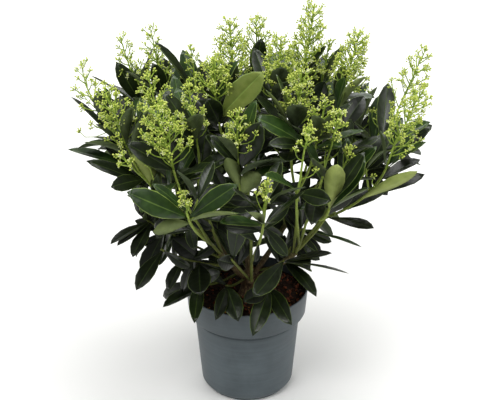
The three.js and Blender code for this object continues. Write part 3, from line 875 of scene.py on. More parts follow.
# %% Model the leaf
ROWS = (0, 0.1, 0.25, 0.42, 0.6, 0.77, 0.91, 1)  # shares of the length
BREADTHS = (0.09, 0.22, 0.53, 0.84, 1.0, 0.9, 0.52, 0.05)  # shares of the width there
COLUMNS = (-0.5, -0.466, -0.024, 0, 0.024, 0.466, 0.5)
MIDRIB, MARGIN = 0.03, 0.46  # where the midrib ends and the margin begins, as shares of the breadth
RISE, BELLY = 0.012, 0.026  # how far the upper side rises and the middle of the underside hangs


def near(value, target):
    return abs(value - target) < 1e-4


def off_midrib(point):
    """How far a point of the flat leaf lies off the midrib, as a share of the breadth there."""
    return abs(point.y) / np.interp(point.x, ROWS, BREADTHS)


def leaf_sheet(name):
    """A flat leaf of length 1 along x and width 1 along y, its midrib on the x axis."""
    deselect()
    bpy.ops.mesh.primitive_grid_add(x_subdivisions=7, y_subdivisions=6, size=1)
    sheet = bpy.context.object
    sheet.name = name
    bpy.ops.object.mode_set(mode="EDIT")
    # Columns come first, while their place still tells them apart. What is done is raised by 1 till the end.
    for i, column in enumerate(COLUMNS):
        at = i / 6 - 0.5
        pick(sheet, lambda vert, at=at: near(vert.co.y, at) and vert.co.z == 0)
        bpy.ops.transform.translate(value=(0, column - at, 1))
    pick(sheet, lambda vert: True)
    bpy.ops.transform.translate(value=(0, 0, -1))
    for i, (row, breadth) in enumerate(zip(ROWS, BREADTHS)):
        at = i / 7 - 0.5
        pick(sheet, lambda vert, at=at: near(vert.co.x, at) and vert.co.z == 0)
        bpy.ops.transform.resize(value=(1, breadth, 1), center_override=(0, 0, 0))
        bpy.ops.transform.translate(value=(row - at, 0, 1))
    pick(sheet, lambda vert: True)
    bpy.ops.transform.translate(value=(0, 0, -1))
    bpy.ops.object.mode_set(mode="OBJECT")
    return sheet


upper = leaf_sheet("leaf_upper")
for finish in leaf_finishes["dark"]:
    upper.data.materials.append(finish)
for face in upper.data.polygons:
    out = off_midrib(face.center)
    face.material_index = 1 if out < MIDRIB else 2 if out > MARGIN else 0
bpy.ops.object.mode_set(mode="EDIT")
pick(upper, lambda vert: 0.05 < vert.co.x < 0.95 and off_midrib(vert.co) < 0.48)
bpy.ops.transform.translate(value=(0, 0, RISE))
bpy.ops.object.mode_set(mode="OBJECT")

under = leaf_sheet("leaf_under")
under.data.materials.append(leaf_finishes["dark"][3])
bpy.ops.object.mode_set(mode="EDIT")


def on_inner_column(edge):
    """True for an edge along the leaf that is neither the midrib nor the margin."""
    a, b = (vert.co for vert in edge.verts)
    return not near(a.x, b.x) and all(0.02 < off_midrib(end) < 0.48 for end in (a, b))


pick(under, on_inner_column, "edges")
bpy.ops.mesh.dissolve_edges(use_verts=True)
pick(under, lambda vert: abs(vert.co.y) < 1e-5 and 0.05 < vert.co.x < 0.95)
bpy.ops.transform.translate(value=(0, 0, -BELLY))
bpy.ops.mesh.select_all(action="SELECT")
bpy.ops.mesh.flip_normals()
bpy.ops.object.mode_set(mode="OBJECT")
leaf = join_limbs([upper, under], "leaf_model")
bpy.ops.object.mode_set(mode="EDIT")
bpy.ops.mesh.select_all(action="SELECT")
bpy.ops.mesh.remove_doubles(threshold=1e-4)
for end in (0, 1):  # the leaf's foot and tip each close to one point
    pick(leaf, lambda vert, end=end: near(vert.co.x, end))
    bpy.ops.mesh.merge(type="CENTER")
bpy.ops.object.mode_set(mode="OBJECT")
leaf_edges = bmesh.new()
leaf_edges.from_mesh(leaf.data)
open_edges = sum(len(edge.link_faces) != 2 for edge in leaf_edges.edges)
leaf_edges.free()
print("leaf faces:", len(leaf.data.polygons), "open edges:", open_edges)
leaf_shape = read_model(leaf)

# %% [markdown]
# ## Room for each leaf
# Leaves of a real shrub share the light and don't grow through each other. The source's rule is kept: every
# leaf is tried at its place, then turned a little, and left out where it would meet a limb, the pot, the soil
# or another mass, or where its blade would cross another blade. A search tree of triangles answers each try.

# %% Coarse leaves for the tries
LEAF_RIM = ((0, 0, 0), (0.32, 1, 0.38), (0.66, 1, 0.5), (1, 0, 0), (0.66, -1, 0.5), (0.32, -1, 0.38))
LEAF_POINTS = (*LEAF_RIM, (0.5, 0, 0))  # share of the length, side, share of the width
TOP_FACES = [(1, 0, 6), (2, 1, 6), (3, 2, 6), (4, 3, 6), (5, 4, 6), (0, 5, 6)]
LOW_FACES = [(5, 0, 1), (5, 1, 4), (4, 1, 2), (4, 2, 3)]


def leaf_ways(leaf):
    """The directions along a leaf, across it, and out of its upper side."""
    if "ways" in leaf:
        return leaf["ways"]
    outward = round_axis(leaf["axis"], leaf["turn"])
    cosine, sine = math.cos(leaf["angle"]), math.sin(leaf["angle"])
    along = leaf["axis"] * cosine + outward * sine
    face = leaf["axis"] * sine - outward * cosine
    return along, face.cross(along), face


def leaf_solid(leaf, begins, extra):
    """The source's own leaf of ten faces, from a share of its length on, fattened by extra."""
    along, aside, face = leaf_ways(leaf)
    length, width, arch = leaf["length"], leaf["width"], leaf["arch"]
    points = []
    for index, (at, side, breadth) in enumerate(LEAF_POINTS):
        share = mixed(begins, 1, at)
        lift = LEAF["thickness"] * length + extra if index == 6 else -extra
        drop = arch * share * share * length
        out = side * (breadth * width + extra)
        points.append(leaf["root"] + along * (share * length) + aside * out + face * (lift - drop))
    return points, TOP_FACES + LOW_FACES


class Volume:
    """A closed shape with its box, for quick tests of whether two shapes meet."""

    def __init__(self, points, faces):
        self.tree = BVHTree.FromPolygons(points, faces)
        cloud = np.array(points)
        self.low, self.high = cloud.min(axis=0), cloud.max(axis=0)


def coarse_leaf(leaf, begins=0.0, extra=0.0):
    return Volume(*leaf_solid(leaf, begins, extra))


class Claims:
    """Everything that a new piece has to keep clear of, with boxes in one array for speed."""

    def __init__(self):
        self.items, self.owners, self.boxes = [], [], np.zeros((0, 6))

    def add(self, owner, volume):
        self.items.append(volume)
        self.owners.append(owner)
        self.boxes = np.vstack([self.boxes, [*volume.low, *volume.high]])

    def met(self, volume, owner, same):
        """True if the volume meets an item of the same owner (same) or of any other (not same)."""
        beyond = np.any(self.boxes[:, :3] > volume.high, axis=1)
        before = np.any(self.boxes[:, 3:] < volume.low, axis=1)
        return any(
            (self.owners[i] == owner) == same and self.items[i].tree.overlap(volume.tree)
            for i in np.flatnonzero(~(beyond | before))
        )


# %% Shoots and heads as rings of points
def ring_tube(stations, spokes):
    """A closed tube through (point, direction, radii, twist) stations, carried along without turning."""
    points, faces = [], []
    side = round_axis(stations[0][1], 0)
    for index, (at, way, radii, twist) in enumerate(stations):
        side = (side - way * way.dot(side)).normalized()
        other = side.cross(way)
        for spoke in range(spokes):
            angle = spoke / spokes * 2 * math.pi + twist
            aside, over = radii[spoke] * math.sin(angle), radii[spoke] * math.cos(angle)
            points.append(at + side * aside + other * over)
        if index:
            for spoke in range(spokes):
                a, b = (index - 1) * spokes + spoke, (index - 1) * spokes + (spoke + 1) % spokes
                faces.append((a, b, b + spokes, a + spokes))
    faces.append(tuple(range(spokes))[::-1])
    faces.append(tuple(range(len(points) - spokes, len(points))))
    return points, faces


def head_cone(shoot, share):
    """Radius of a flower head at a share of its flowering length."""
    size = (shoot["tip"] - shoot["curve"].end).length
    girth = HEAD["girth"] * min(HEAD["most"], HEAD["least"] + size / HEAD["full_size"])
    swell = math.sin(math.pi * share ** HEAD["shoulder"]) ** HEAD["roundness"]
    return girth * swell * (1 - HEAD["taper"] * share)


def shoot_volume(shoot, slim=1.0):
    """The shoot and its flower head as the source has them, or slimmer, for the tries."""
    curve, spokes = shoot["curve"], SHOOT["spokes"]
    stations = []
    for i in range(SHOOT["steps"] + 1):
        along = i / SHOOT["steps"]
        radius = mixed(SHOOT["foot"], SHOOT["tip"], along)
        stations.append((curve.point(along), curve.tangent(along), [radius] * spokes, 0))
    if shoot["tip"]:
        for ring in range(HEAD["rings"]):
            share = (ring + 0.6) / HEAD["rings"]
            at = curve.end.lerp(shoot["tip"], mixed(HEAD["bare"], 1, share))
            girth, tufts = head_cone(shoot, share) * slim, shoot["tufts"][ring]
            radii = [
                girth * (HEAD["hollow"] if spoke % 2 else 1) * mixed(*HEAD["tufts"], tufts[spoke])
                for spoke in range(spokes)
            ]
            stations.append((at, shoot["way"], radii, HEAD["twist"] * (ring + 1)))
    return Volume(*ring_tube(stations, spokes))


def solid_of(node):
    """The points of one of the source's solids, in mm, and its faces."""
    return [v.co / MM for v in node.data.vertices], [list(p.vertices) for p in node.data.polygons]


SLIM_HEAD = 0.3  # girth of a slimmer head, as a share of the source's
claims = Claims()  # what a source leaf keeps clear of
slim_claims = Claims()  # the same with slimmer heads, for the finer leaves
blades = Claims()
for name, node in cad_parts.items():
    if not name.startswith("mass_"):
        solid = Volume(*solid_of(node))
        claims.add(name, solid)
        slim_claims.add(name, solid)
for mass in masses:
    for shoot in mass["shoots"]:
        claims.add(mass["name"], shoot_volume(shoot))
        slim_claims.add(mass["name"], shoot_volume(shoot, SLIM_HEAD))
shapes_claimed = len(claims.items)
print("limbs, pot, soil and shoots claimed:", shapes_claimed)

# %% [markdown]
# ## Leaves that lead the outline
# Some leaves make the plant's outline and its face: the long ones at the sides, the ones over the pot's rim,
# the few that show their pale undersides. They are placed one by one, each by its root on a shoot, its
# tip and the side that it shows, before the rule fills in the rest. One that has no room is rolled about
# its own length, or rooted a little further along.

# %% Name the leading leaves
SHOWS = {"face": (0, -1, 0.6), "slant": (0, -0.35, 1), "flat": (0, 0, 1), "edge": (0, 0.35, 1)}
SHOWS |= {"under": (0, 1, 0.25)}  # where the upper side of such a leaf turns
LEADING = [  # mass, shoot, root's place on it, tip in mm, width, arch, side that it shows, tone
    ("front_left", 2, 0.97, (-168, -279, 504), 38, 0.10, "face", "mid"),
    ("front_left", 2, 0.95, (-14, -229, 500), 32, 0.12, "face", "mid"),
    ("front_left", 2, 0.93, (-37, -161, 469), 32, 0.10, "face", "dark"),
    ("front_left", 2, 0.90, (-14, -291, 482), 30, 0.08, "edge", "mid"),
    ("front_left", 2, 0.87, (-133, -261, 464), 22, 0.08, "flat", "mid"),
    ("front_left", 2, 0.80, (-136, -251, 434), 32, 0.10, "under", "mid"),
    ("left", 1, 0.30, (-182, -63, 480), 46, 0.06, "under", "fresh"),
    ("front_left", 0, 0.97, (-178, -165, 537), 34, 0.12, "face", "dark"),
    ("inner_left", 1, 0.50, (-61, -86, 531), 36, 0.05, "face", "dark"),
    ("inner_left", 1, 0.92, (-121, -99, 538), 34, 0.10, "face", "dark"),
    ("middle", 0, 0.85, (-64, -39, 563), 36, 0.10, "face", "dark"),
    ("front", 0, 0.97, (25, -139, 559), 40, 0.05, "face", "dark"),
    ("front", 0, 0.70, (-29, -127, 499), 26, 0.05, "under", "mid"),
    ("front", 0, 0.60, (19, -131, 476), 34, 0.15, "under", "mid"),
    ("middle", 0, 0.97, (24, -32, 608), 46, 0.06, "face", "fresh"),
    ("inner_back", 1, 1.20, (-155, 72, 626), 30, 0.10, "slant", "dark"),
    ("back_left", 0, 0.97, (-224, 105, 583), 32, 0.10, "face", "dark"),
    ("back_left", 1, 0.97, (-161, 53, 594), 30, 0.10, "face", "dark"),
    ("left", 0, 0.97, (-201, 18, 526), 24, 0.10, "face", "mid"),
    ("inner_back", 1, 0.97, (-109, 134, 597), 32, 0.12, "face", "mid"),
    ("middle", 1, 0.97, (10, 69, 617), 30, 0.08, "face", "dark"),
    ("top_right", 1, 0.97, (21, 110, 623), 30, 0.08, "face", "dark"),
    ("top_right", 0, 0.97, (130, 31, 631), 30, 0.12, "slant", "dark"),
    ("inner_back_right", 0, 0.97, (189, -10, 592), 34, 0.12, "flat", "mid"),
    ("inner_back_right", 0, 0.92, (161, 9, 583), 36, 0.08, "slant", "mid"),
    ("inner_back_right", 1, 0.97, (134, 58, 560), 30, 0.08, "face", "mid"),
    ("inner_back_right", 1, 1.20, (164, 76, 622), 18, 0.10, "edge", "dark"),
    ("right_back", 0, 0.97, (230, 104, 539), 30, 0.12, "edge", "dark"),
    ("right", 0, 0.97, (238, 68, 557), 32, 0.10, "face", "dark"),
    ("right", 1, 0.97, (236, 107, 523), 34, 0.08, "face", "mid"),
    ("right", 0, 0.94, (301, -20, 519), 32, 0.12, "slant", "mid"),
    ("right_front", 0, 0.97, (279, -113, 520), 28, 0.12, "flat", "mid"),
    ("right_front", 0, 0.45, (267, -127, 475), 24, 0.04, "under", "fresh"),
    ("right_front", 0, 0.50, (295, -33, 432), 30, 0.06, "slant", "deep"),
    ("right_front", 0, 0.20, (233, -37, 406), 36, 0.08, "slant", "dark"),
    ("front_right", 2, 0.97, (137, -202, 519), 33, 0.06, "under", "fresh"),
    ("right_front", 0, 0.02, (203, -131, 378), 30, 0.08, "flat", "deep"),
    ("low_right", 0, 0.97, (199, -36, 294), 17, 0.08, "edge", "mid"),
    ("rim_front_right", 0, 0.97, (7, -146, 186), 34, 0.40, "face", "dark"),
    ("rim_right", 0, 0.97, (117, -74, 216), 32, 0.40, "flat", "dark"),
    ("low_front_right", 0, 0.90, (139, -118, 326), 28, 0.08, "flat", "deep"),
    ("low_front_right", 0, 0.97, (167, -140, 301), 24, 0.08, "edge", "deep"),
    ("low_front_right", 0, 0.95, (15, -159, 265), 36, 0.12, "face", "dark"),
    ("low_front_right", 0, 0.85, (105, -124, 313), 36, 0.10, "slant", "deep"),
    ("rim_front_right", 0, 0.90, (77, -135, 201), 32, 0.35, "face", "dark"),
    ("rim_front_left", 0, 0.97, (-13, -126, 201), 36, 0.35, "face", "dark"),
    ("rim_front_left", 0, 0.92, (-53, -134, 208), 24, 0.35, "face", "deep"),
    ("rim_left", 0, 0.80, (-88, -148, 211), 26, 0.35, "edge", "dark"),
    ("rim_left", 0, 0.65, (-144, -87, 204), 28, 0.10, "flat", "dark"),
    ("low_front_left", 0, 0.62, (-135, -110, 250), 24, 0.10, "slant", "deep"),
    ("low_front_left", 0, 0.50, (-114, -54, 215), 20, 0.10, "slant", "deep"),
    ("low_front_left", 0, 0.97, (-181, -146, 273), 30, 0.10, "slant", "deep"),
    ("low_left", 0, 0.72, (-184, -50, 242), 40, 0.12, "slant", "deep"),
    ("low_front_left", 0, 0.40, (-80, -124, 250), 44, 0.10, "face", "deep"),
    ("low_front_left", 0, 0.35, (-128, -46, 320), 34, 0.10, "face", "deep"),
    ("low_left", 0, 0.97, (-226, -87, 326), 26, 0.10, "flat", "deep"),
    ("low_left", 0, 0.95, (-215, -86, 322), 26, 0.10, "flat", "deep"),
    ("low_left", 0, 0.93, (-190, -102, 310), 28, 0.10, "flat", "deep"),
    ("low_left", 0, 0.90, (-196, -13, 261), 28, 0.10, "flat", "deep"),
    ("low_front", 0, 0.70, (-46, -159, 337), 30, 0.10, "face", "deep"),
    ("front", 1, 0.90, (86, -228, 487), 28, 0.08, "flat", "dark"),
    ("front_right", 1, 0.95, (123, -230, 472), 28, 0.10, "face", "dark"),
    ("inner_right", 1, 0.97, (144, -150, 526), 34, 0.25, "slant", "mid"),
    ("front", 1, 0.97, (1, -314, 496), 26, 0.05, "edge", "mid"),
    ("front", 1, 0.94, (71, -228, 473), 20, 0.10, "flat", "mid"),
    ("left", 0, 0.58, (-300, -8, 466), 30, 0.08, "slant", "mid"),
    ("left", 1, 0.30, (-263, -53, 461), 28, 0.08, "slant", "dark"),
    ("left", 1, 0.50, (-222, -77, 428), 30, 0.10, "slant", "dark"),
    ("left", 0, 0.95, (-300, 45, 538), 28, 0.08, "flat", "dark"),
    ("back_left", 0, 0.96, (-271, 95, 561), 26, 0.08, "edge", "dark"),
    ("right_front", 0, 0.80, (285, -49, 463), 30, 0.08, "flat", "deep"),
]
ROLLS = (0, 0.35, -0.35, 0.7, -0.7)
SLIDES = (0, -0.06, 0.06, -0.12, 0.12)  # how far along the shoot the root may move for want of room
LAST_PLACE = 0.98  # the furthest place on a shoot that a slide leads to


def leading_leaf(curve, t, tip, width, arch, shows, tone, roll):
    """A leaf from a place on a shoot to a given tip."""
    root = on_shoot(curve, t)
    chord = (Vector(tip) - root).normalized()
    hint = Vector(SHOWS[shows])
    out = (hint - chord * hint.dot(chord)).normalized()
    out = out * math.cos(roll) + chord.cross(out) * math.sin(roll)
    dip = math.atan(arch)
    along, face = chord * math.cos(dip) + out * math.sin(dip), out * math.cos(dip) - chord * math.sin(dip)
    leaf = {"root": root, "ways": (along, face.cross(along), face), "width": width, "arch": arch, "rank": 0}
    return {**leaf, "turn": 0, "tone": tone, "length": (Vector(tip) - root).length * math.cos(dip)}


def settle(mass, shoot, leaf, solids, own=False):
    """Keeps a leaf that is clear of other masses, with own also of its own mass, and whose blade is clear of
    every blade. Returns whether it is kept."""
    if solids.met(coarse_leaf(leaf, 0, LEAF["clear"]), mass["name"], same=False):
        return False
    blade = coarse_leaf(leaf, LEAF["neck"])
    if blades.met(blade, "any", same=True) or (own and solids.met(blade, mass["name"], same=True)):
        return False
    blades.add("any", blade)
    shoot["kept"].append(leaf)
    return True


by_name = {mass["name"][5:]: mass for mass in masses}
for mass in masses:
    for shoot in mass["shoots"]:
        shoot["kept"] = []
left_out = []
for name, order, t, *rest in LEADING:
    mass = by_name[name]
    shoot = mass["shoots"][order]
    for slide, roll in itertools.product(SLIDES, ROLLS):
        leaf = leading_leaf(shoot["curve"], min(t + slide, max(t, LAST_PLACE)), *rest, roll)
        if settle(mass, shoot, leaf, slim_claims):
            break
    else:
        left_out.append((name, order, t))
print("leading leaves:", len(LEADING) - len(left_out), "without room:", left_out)

# %% [markdown]
# ## Where the crown is open
# A shrub is not a hedge: the background shows between its sprays, and the leading leaves stand out from the
# rest. The openings are claimed as thin tubes along the line of sight, so that no further leaf grows across
# them, and an outline is drawn that the tips of the further leaves keep inside.

# %% Claim the openings
OPENINGS = [  # x and z of the opening's middle over the pot's axis, and its radius, in mm
    (38, 452, 3), (87, 427, 5), (101, 427, 4), (70, 410, 5), (86, 408, 4), (114, 401, 4),
    (145, 438, 3), (31, 338, 4), (63, 306, 5), (103, 316, 4), (23, 295, 5), (27, 267, 4),
    (-138, 236, 7), (-7, 199, 6), (-20, 216, 4), (-201, 392, 4), (-116, 263, 4), (-78, 279, 4),
    (-33, 414, 3), (-293, 428, 10), (251, 361, 10), (230, 336, 9), (231, 289, 10), (140, 214, 9),
    (-161, 193, 9), (303, 454, 5),
]  # fmt: skip
OUTLINE = [  # x and z of its corners over the pot's axis, in mm, as seen along the line of sight
    (-154, 146), (-157, 166), (-151, 187), (-128, 207), (-142, 236), (-172, 203), (-205, 178), (-202, 218),
    (-180, 244), (-194, 250), (-219, 250), (-246, 275), (-234, 300), (-208, 332), (-203, 363), (-222, 385),
    (-245, 397), (-264, 427), (-283, 445), (-288, 463), (-263, 481), (-249, 499), (-263, 534), (-250, 565),
    (-226, 593), (-208, 616), (-155, 649), (-98, 636), (-68, 616), (-24, 619), (8, 643), (24, 652),
    (62, 629), (85, 639), (130, 643), (158, 643), (171, 599), (197, 589), (227, 579), (247, 531),
    (288, 517), (308, 512), (304, 474), (300, 441), (306, 414), (271, 395), (243, 374), (183, 347),
    (173, 324), (167, 297), (154, 275), (140, 257), (123, 236), (117, 203), (102, 161), (79, 90),
    (-13, 61), (-106, 90),
]  # fmt: skip
OPENING_DEPTH = 360
FREE_LIMBS = [  # limbs that nothing hides, between two shares of their length
    (by_name["right_front"]["shoots"][0]["curve"], 0.02, 0.97),
    (by_name["front_left"]["shoots"][0]["curve"], 0.2, 0.97),
    (boughs["right_front"], 0.3, 1.0),
    (boughs["front_left"], 0.1, 1.0),
    (boughs["inner_right"], 0.2, 0.7),
    (boughs["front"], 0.0, 0.5),
    (stems["front_right"]["curve"], 0.15, 1.0),
    (stems["front_left"]["curve"], 0.15, 0.85),
]
FREE_STATIONS = 8
LIMB_SIGHT = (6, 3.0)  # how far off the limb the view begins that is kept free, and its radius, in mm
HEAD_STATIONS = (0.72, 0.92)  # shares of a flower head's stalk that no leaf hides
HEAD_SIGHT = (8, 4.0)
LEAF_STATIONS = (0.3, 0.5, 0.7, 0.9)  # shares of a leading leaf's length that no other leaf hides
LEAF_SIGHT = (6, 0.1)  # the radius here is a share of the leaf's width
eye = camera.location / MM


def in_outline(point):
    """True if the eye sees the point inside the outline, by counting the edges to its right."""
    seen = eye + (point - eye) * (-eye.y / (point - eye).y)
    inside = False
    for (ax, az), (bx, bz) in zip(OUTLINE, OUTLINE[1:] + OUTLINE[:1]):
        if (az > seen.z) != (bz > seen.z) and seen.x < ax + (bx - ax) * (seen.z - az) / (bz - az):
            inside = not inside
    return inside


def stays_in(leaf):
    """True if the tip and the two widest points of a leaf lie in the outline."""
    points = leaf_solid(leaf, LEAF["neck"], 0)[0]
    return all(in_outline(points[index]) for index in (2, 3, 4))


def claim_tube(begin, end, radius):
    """Claims a straight tube of air, which no further leaf may cross."""
    way = (end - begin).normalized()
    tube = Volume(*ring_tube([(at, way, [radius] * 6, 0) for at in (begin, end)], 6))
    claims.add("sky", tube)
    slim_claims.add("sky", tube)


def claim_sight(at, off, radius):
    """Keeps the view of a point free, from a little way off towards the eye."""
    sight = (eye - at).normalized()
    claim_tube(at + sight * off, at + sight * OPENING_DEPTH, radius)


for x, z, radius in OPENINGS:
    middle = Vector((x, 0, z))
    sight = (middle - eye) / (middle - eye).y
    claim_tube(middle - sight * OPENING_DEPTH, middle + sight * OPENING_DEPTH, radius)
for curve, begins, ends in FREE_LIMBS:
    for i in range(FREE_STATIONS):
        claim_sight(curve.point(mixed(begins, ends, i / (FREE_STATIONS - 1))), *LIMB_SIGHT)
for mass in masses:
    for shoot in mass["shoots"]:
        for share in HEAD_STATIONS if shoot["tip"] else ():
            claim_sight(shoot["curve"].end.lerp(shoot["tip"], share), *HEAD_SIGHT)
        for leaf in shoot["kept"]:
            along, _, face = leaf_ways(leaf)
            for share in LEAF_STATIONS:
                at = leaf["root"] + (along * share - face * (leaf["arch"] * share**2)) * leaf["length"]
                claim_sight(at, LEAF_SIGHT[0], LEAF_SIGHT[1] * leaf["width"])
print("openings:", len(OPENINGS), "views kept free:", len(claims.items) - shapes_claimed - len(OPENINGS))


# %% Try the source's leaves, the topmost of every shoot first
def place_leaf(mass, shoot, leaf, solids=claims):
    """Keeps the leaf at the first turn where it has room, if there is one."""
    for turn in LEAF_TURNS:
        tried = {**leaf, "turn": leaf["turn"] + turn}
        if stays_in(tried) and settle(mass, shoot, tried, solids, own=True):
            break


ranks = max(len(shoot["leaves"]) for mass in masses for shoot in mass["shoots"])
for rank in range(ranks):
    for mass in masses:
        for shoot in mass["shoots"]:
            led = sum("tone" in leaf for leaf in shoot["kept"])  # leading leaves stand in for the last ones
            if rank < len(shoot["leaves"]) - led:
                place_leaf(mass, shoot, shoot["leaves"][rank])
print("leaves so far:", sum(len(shoot["kept"]) for mass in masses for shoot in mass["shoots"]))

# %% [markdown]
# ## Finer twigs
# The rule is carried one step further in the crown. A collar of steep young leaves stands round the foot of
# every flower head, and side twigs with a small ruff of their own fill the room below the flowers. The skirt
# stays open, so that the stems and the soil can be seen.

# %% Collars and side twigs
COLLAR = {"leaves": 5, "steepest": 12, "widest": 46, "lengths": (66, 96), "breadth": 0.36, "raise": 24}
COLLAR |= {"breadths": (0.85, 1.15), "arches": (0.02, 0.16)}
SIDE_TWIGS = ((0.84, 0.8, 40), (0.62, 1.0, 46))  # place on the shoot, splay, length in mm
SIDE_TWIG = {"lengths": (0.8, 1.2), "lift": 0.6, "bow": 0.4, "least": 2}
SIDE_LEAVES = 5
SIDE_SIZE = 0.84
LOWEST_TWIG = 400  # mm above the floor


def collar_leaf(shoot, index, turn, draw):
    """A steep young leaf that roots on the foot of a flower head's stalk."""
    length = mixed(*COLLAR["lengths"], draw())
    raised = COLLAR["raise"] * index / COLLAR["leaves"]
    turn += index * GOLDEN + SWING * (draw() - 0.5)
    steepness = mixed(raised / COLLAR["raise"], draw(), 0.5)
    return {
        "root": shoot["curve"].end + shoot["way"] * raised,
        "axis": shoot["way"],
        "turn": turn,
        "angle": math.radians(mixed(COLLAR["widest"], COLLAR["steepest"], steepness)),
        "length": length,
        "width": length * COLLAR["breadth"] * mixed(*COLLAR["breadths"], draw()),
        "arch": mixed(*COLLAR["arches"], draw()),
        "rank": 0,
    }


twigs = []
for number, mass in enumerate(masses):
    for order, shoot in enumerate(mass["shoots"]):
        draw = seeded(9000 + 20 * number + order)
        turn = draw() * 2 * math.pi
        if not shoot["tip"]:
            continue
        for index in range(COLLAR["leaves"]):
            place_leaf(mass, shoot, collar_leaf(shoot, index, turn, draw), slim_claims)
        for t, wide, length in SIDE_TWIGS:
            turn += GOLDEN
            start, axis = on_shoot(shoot["curve"], t), shoot["curve"].tangent(t)
            way = (axis * 0.9 + round_axis(axis, turn) * wide).normalized()
            end = start + way * (length * mixed(*SIDE_TWIG["lengths"], draw()))
            if end.z < LOWEST_TWIG:
                continue
            side_curve = Bend(start, end, lifted(way, SIDE_TWIG["lift"]), SIDE_TWIG["bow"])
            side = {"curve": side_curve, "tip": None, "kept": [], "spray": True}
            for leaf in plan_leaves(side_curve, SIDE_LEAVES, SPLAY["crown"], draw):
                leaf["length"] *= SIDE_SIZE
                leaf["width"] *= SIDE_SIZE
                place_leaf(mass, side, leaf, slim_claims)
            if len(side["kept"]) >= SIDE_TWIG["least"]:
                twigs.append((mass, side))
for mass, side in twigs:
    mass["shoots"].append(side)
print("side twigs:", len(twigs))

# %% [markdown]
# ## Shade leaves
# Inside the crown the older leaves close the view, apart from the openings. To find where they are missing,
# rays are sent from the eye through a grid of points. Where a ray passes between all blades, a dark leaf
# grows across it from the nearest shoot, with the same tests for room as the others. Its dark tone is
# painted shade of the crown's inside.

# %% Close the crown with shade leaves
SHADED = [  # height, then the left and right ends of what is closed there, in mm
    (236, -112, 88), (275, -150, 112), (313, -166, 138), (350, -172, 165), (388, -182, 188),
    (430, -205, 235), (480, -225, 250), (540, -215, 245), (600, -150, 190),
]  # fmt: skip
SHADE = {"step": 8, "reach": (10, 74), "cross": 0.58, "most": 0.8, "breadth": 0.36, "tries": 14}
SHADE |= {"slants": (-0.25, 0.35), "arches": (0.04, 0.16), "lowest": 206, "edge": 5}
SHADE_LENGTHS = ((58, 98), (58, 98), (38, 60), (30, 46))  # for each round
CROWN_PERCHES = (0.3, 0.45, 0.6, 0.75, 0.9)  # places on a shoot where a shade leaf may root
LOW_PERCHES = (0.5, 0.6, 0.7, 0.85, 0.97)  # the same on a side twig or a low shoot


def all_blades():
    """The blades of every leaf so far as one mesh, in mm."""
    blade_points, blade_faces = [], []
    for mass in masses:
        for shoot in mass["shoots"]:
            for leaf in shoot["kept"]:
                gather(blade_points, blade_faces, *leaf_solid(leaf, LEAF["neck"], 0))
    return blade_points, blade_faces


def shade_leaf(ray, lengths, draw):
    """Grows a leaf across a ray that nothing stops. Returns whether one had room."""
    found = []
    for mass, shoot, t, root in perches:
        across = eye + ray * (root - eye).dot(ray) - root
        if SHADE["reach"][0] < across.length < SHADE["reach"][1]:
            found.append((across.length, mass, shoot, t, root, across))
    found.sort(key=lambda row: row[0])
    for distance, mass, shoot, t, root, across in found[: SHADE["tries"]]:
        length = min(max(distance / SHADE["cross"], lengths[0]), lengths[1])
        if distance > SHADE["most"] * length:
            continue
        tip = root + (across.normalized() + ray * mixed(*SHADE["slants"], draw())).normalized() * length
        if tip.z < SHADE["lowest"]:
            continue
        for roll in ROLLS:
            width, arch = length * SHADE["breadth"], mixed(*SHADE["arches"], draw())
            leaf = leading_leaf(shoot["curve"], t, tip, width, arch, "face", "shade", roll)
            if stays_in(leaf) and settle(mass, shoot, leaf, slim_claims):
                return True
    return False


perches = [
    (mass, shoot, t, on_shoot(shoot["curve"], t))
    for mass in masses
    for shoot in mass["shoots"]
    for t in (CROWN_PERCHES if shoot["tip"] else LOW_PERCHES)
]
solid_points, solid_faces = [], []
for name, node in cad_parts.items():
    if not name.startswith("mass_"):
        gather(solid_points, solid_faces, *solid_of(node))
solid_tree = BVHTree.FromPolygons(solid_points, solid_faces)
heights = [row[0] for row in SHADED]
draw = seeded(4242)
added = []
for lengths in SHADE_LENGTHS:
    added.append(0)
    leaf_tree = BVHTree.FromPolygons(*all_blades())
    for z in range(heights[0], heights[-1], SHADE["step"]):
        left, right = (np.interp(z, heights, [row[side] for row in SHADED]) for side in (1, 2))
        for x in range(int(left), int(right), SHADE["step"]):
            ray = (Vector((x, 0, z)) - eye).normalized()
            open_here = any(math.hypot(x - ox, z - oz) < size + SHADE["edge"] for ox, oz, size in OPENINGS)
            if open_here or leaf_tree.ray_cast(eye, ray)[0] or solid_tree.ray_cast(eye, ray)[0]:
                continue
            if shade_leaf(ray, lengths, draw):
                added[-1] += 1
                leaf_tree = BVHTree.FromPolygons(*all_blades())
total_leaves = sum(len(shoot["kept"]) for mass in masses for shoot in mass["shoots"])
print("shade leaves:", added, "leaves in all:", total_leaves)

# %% [markdown]
# ## Dealing out the leaves
# Each copy of the leaf is bent on its own: arched over its length, folded along the midrib, twisted a little
# towards its tip and waved along its margins. Young leaves near the tip of a shoot are paler, old ones low
# down almost black-green, so the tone of a leaf goes by its place on the plant. The darkest tones are also
# painted shade, for leaves low down, inside the crown or with their dull side to the eye. All leaves of one
# tone are one piece.

# %% Bend one leaf into place
LEAF_SLIM = 0.96  # the coarse leaves of the solids are a little wider
BENDS = {"fold": (0.08, 0.42), "twist": (-0.35, 0.35), "sickle": (-0.05, 0.05)}
BENDS |= {"wave": (0.0, 0.035), "beat": (5.0, 9.0)}
YOUNG_RANK = 3  # leaves above this one in a shoot's ruff are young
# Leaves low down are old and darker, and their deepest tones are also painted shade.
LOW_LEAF = 330  # mm above the floor, under which leaves are old


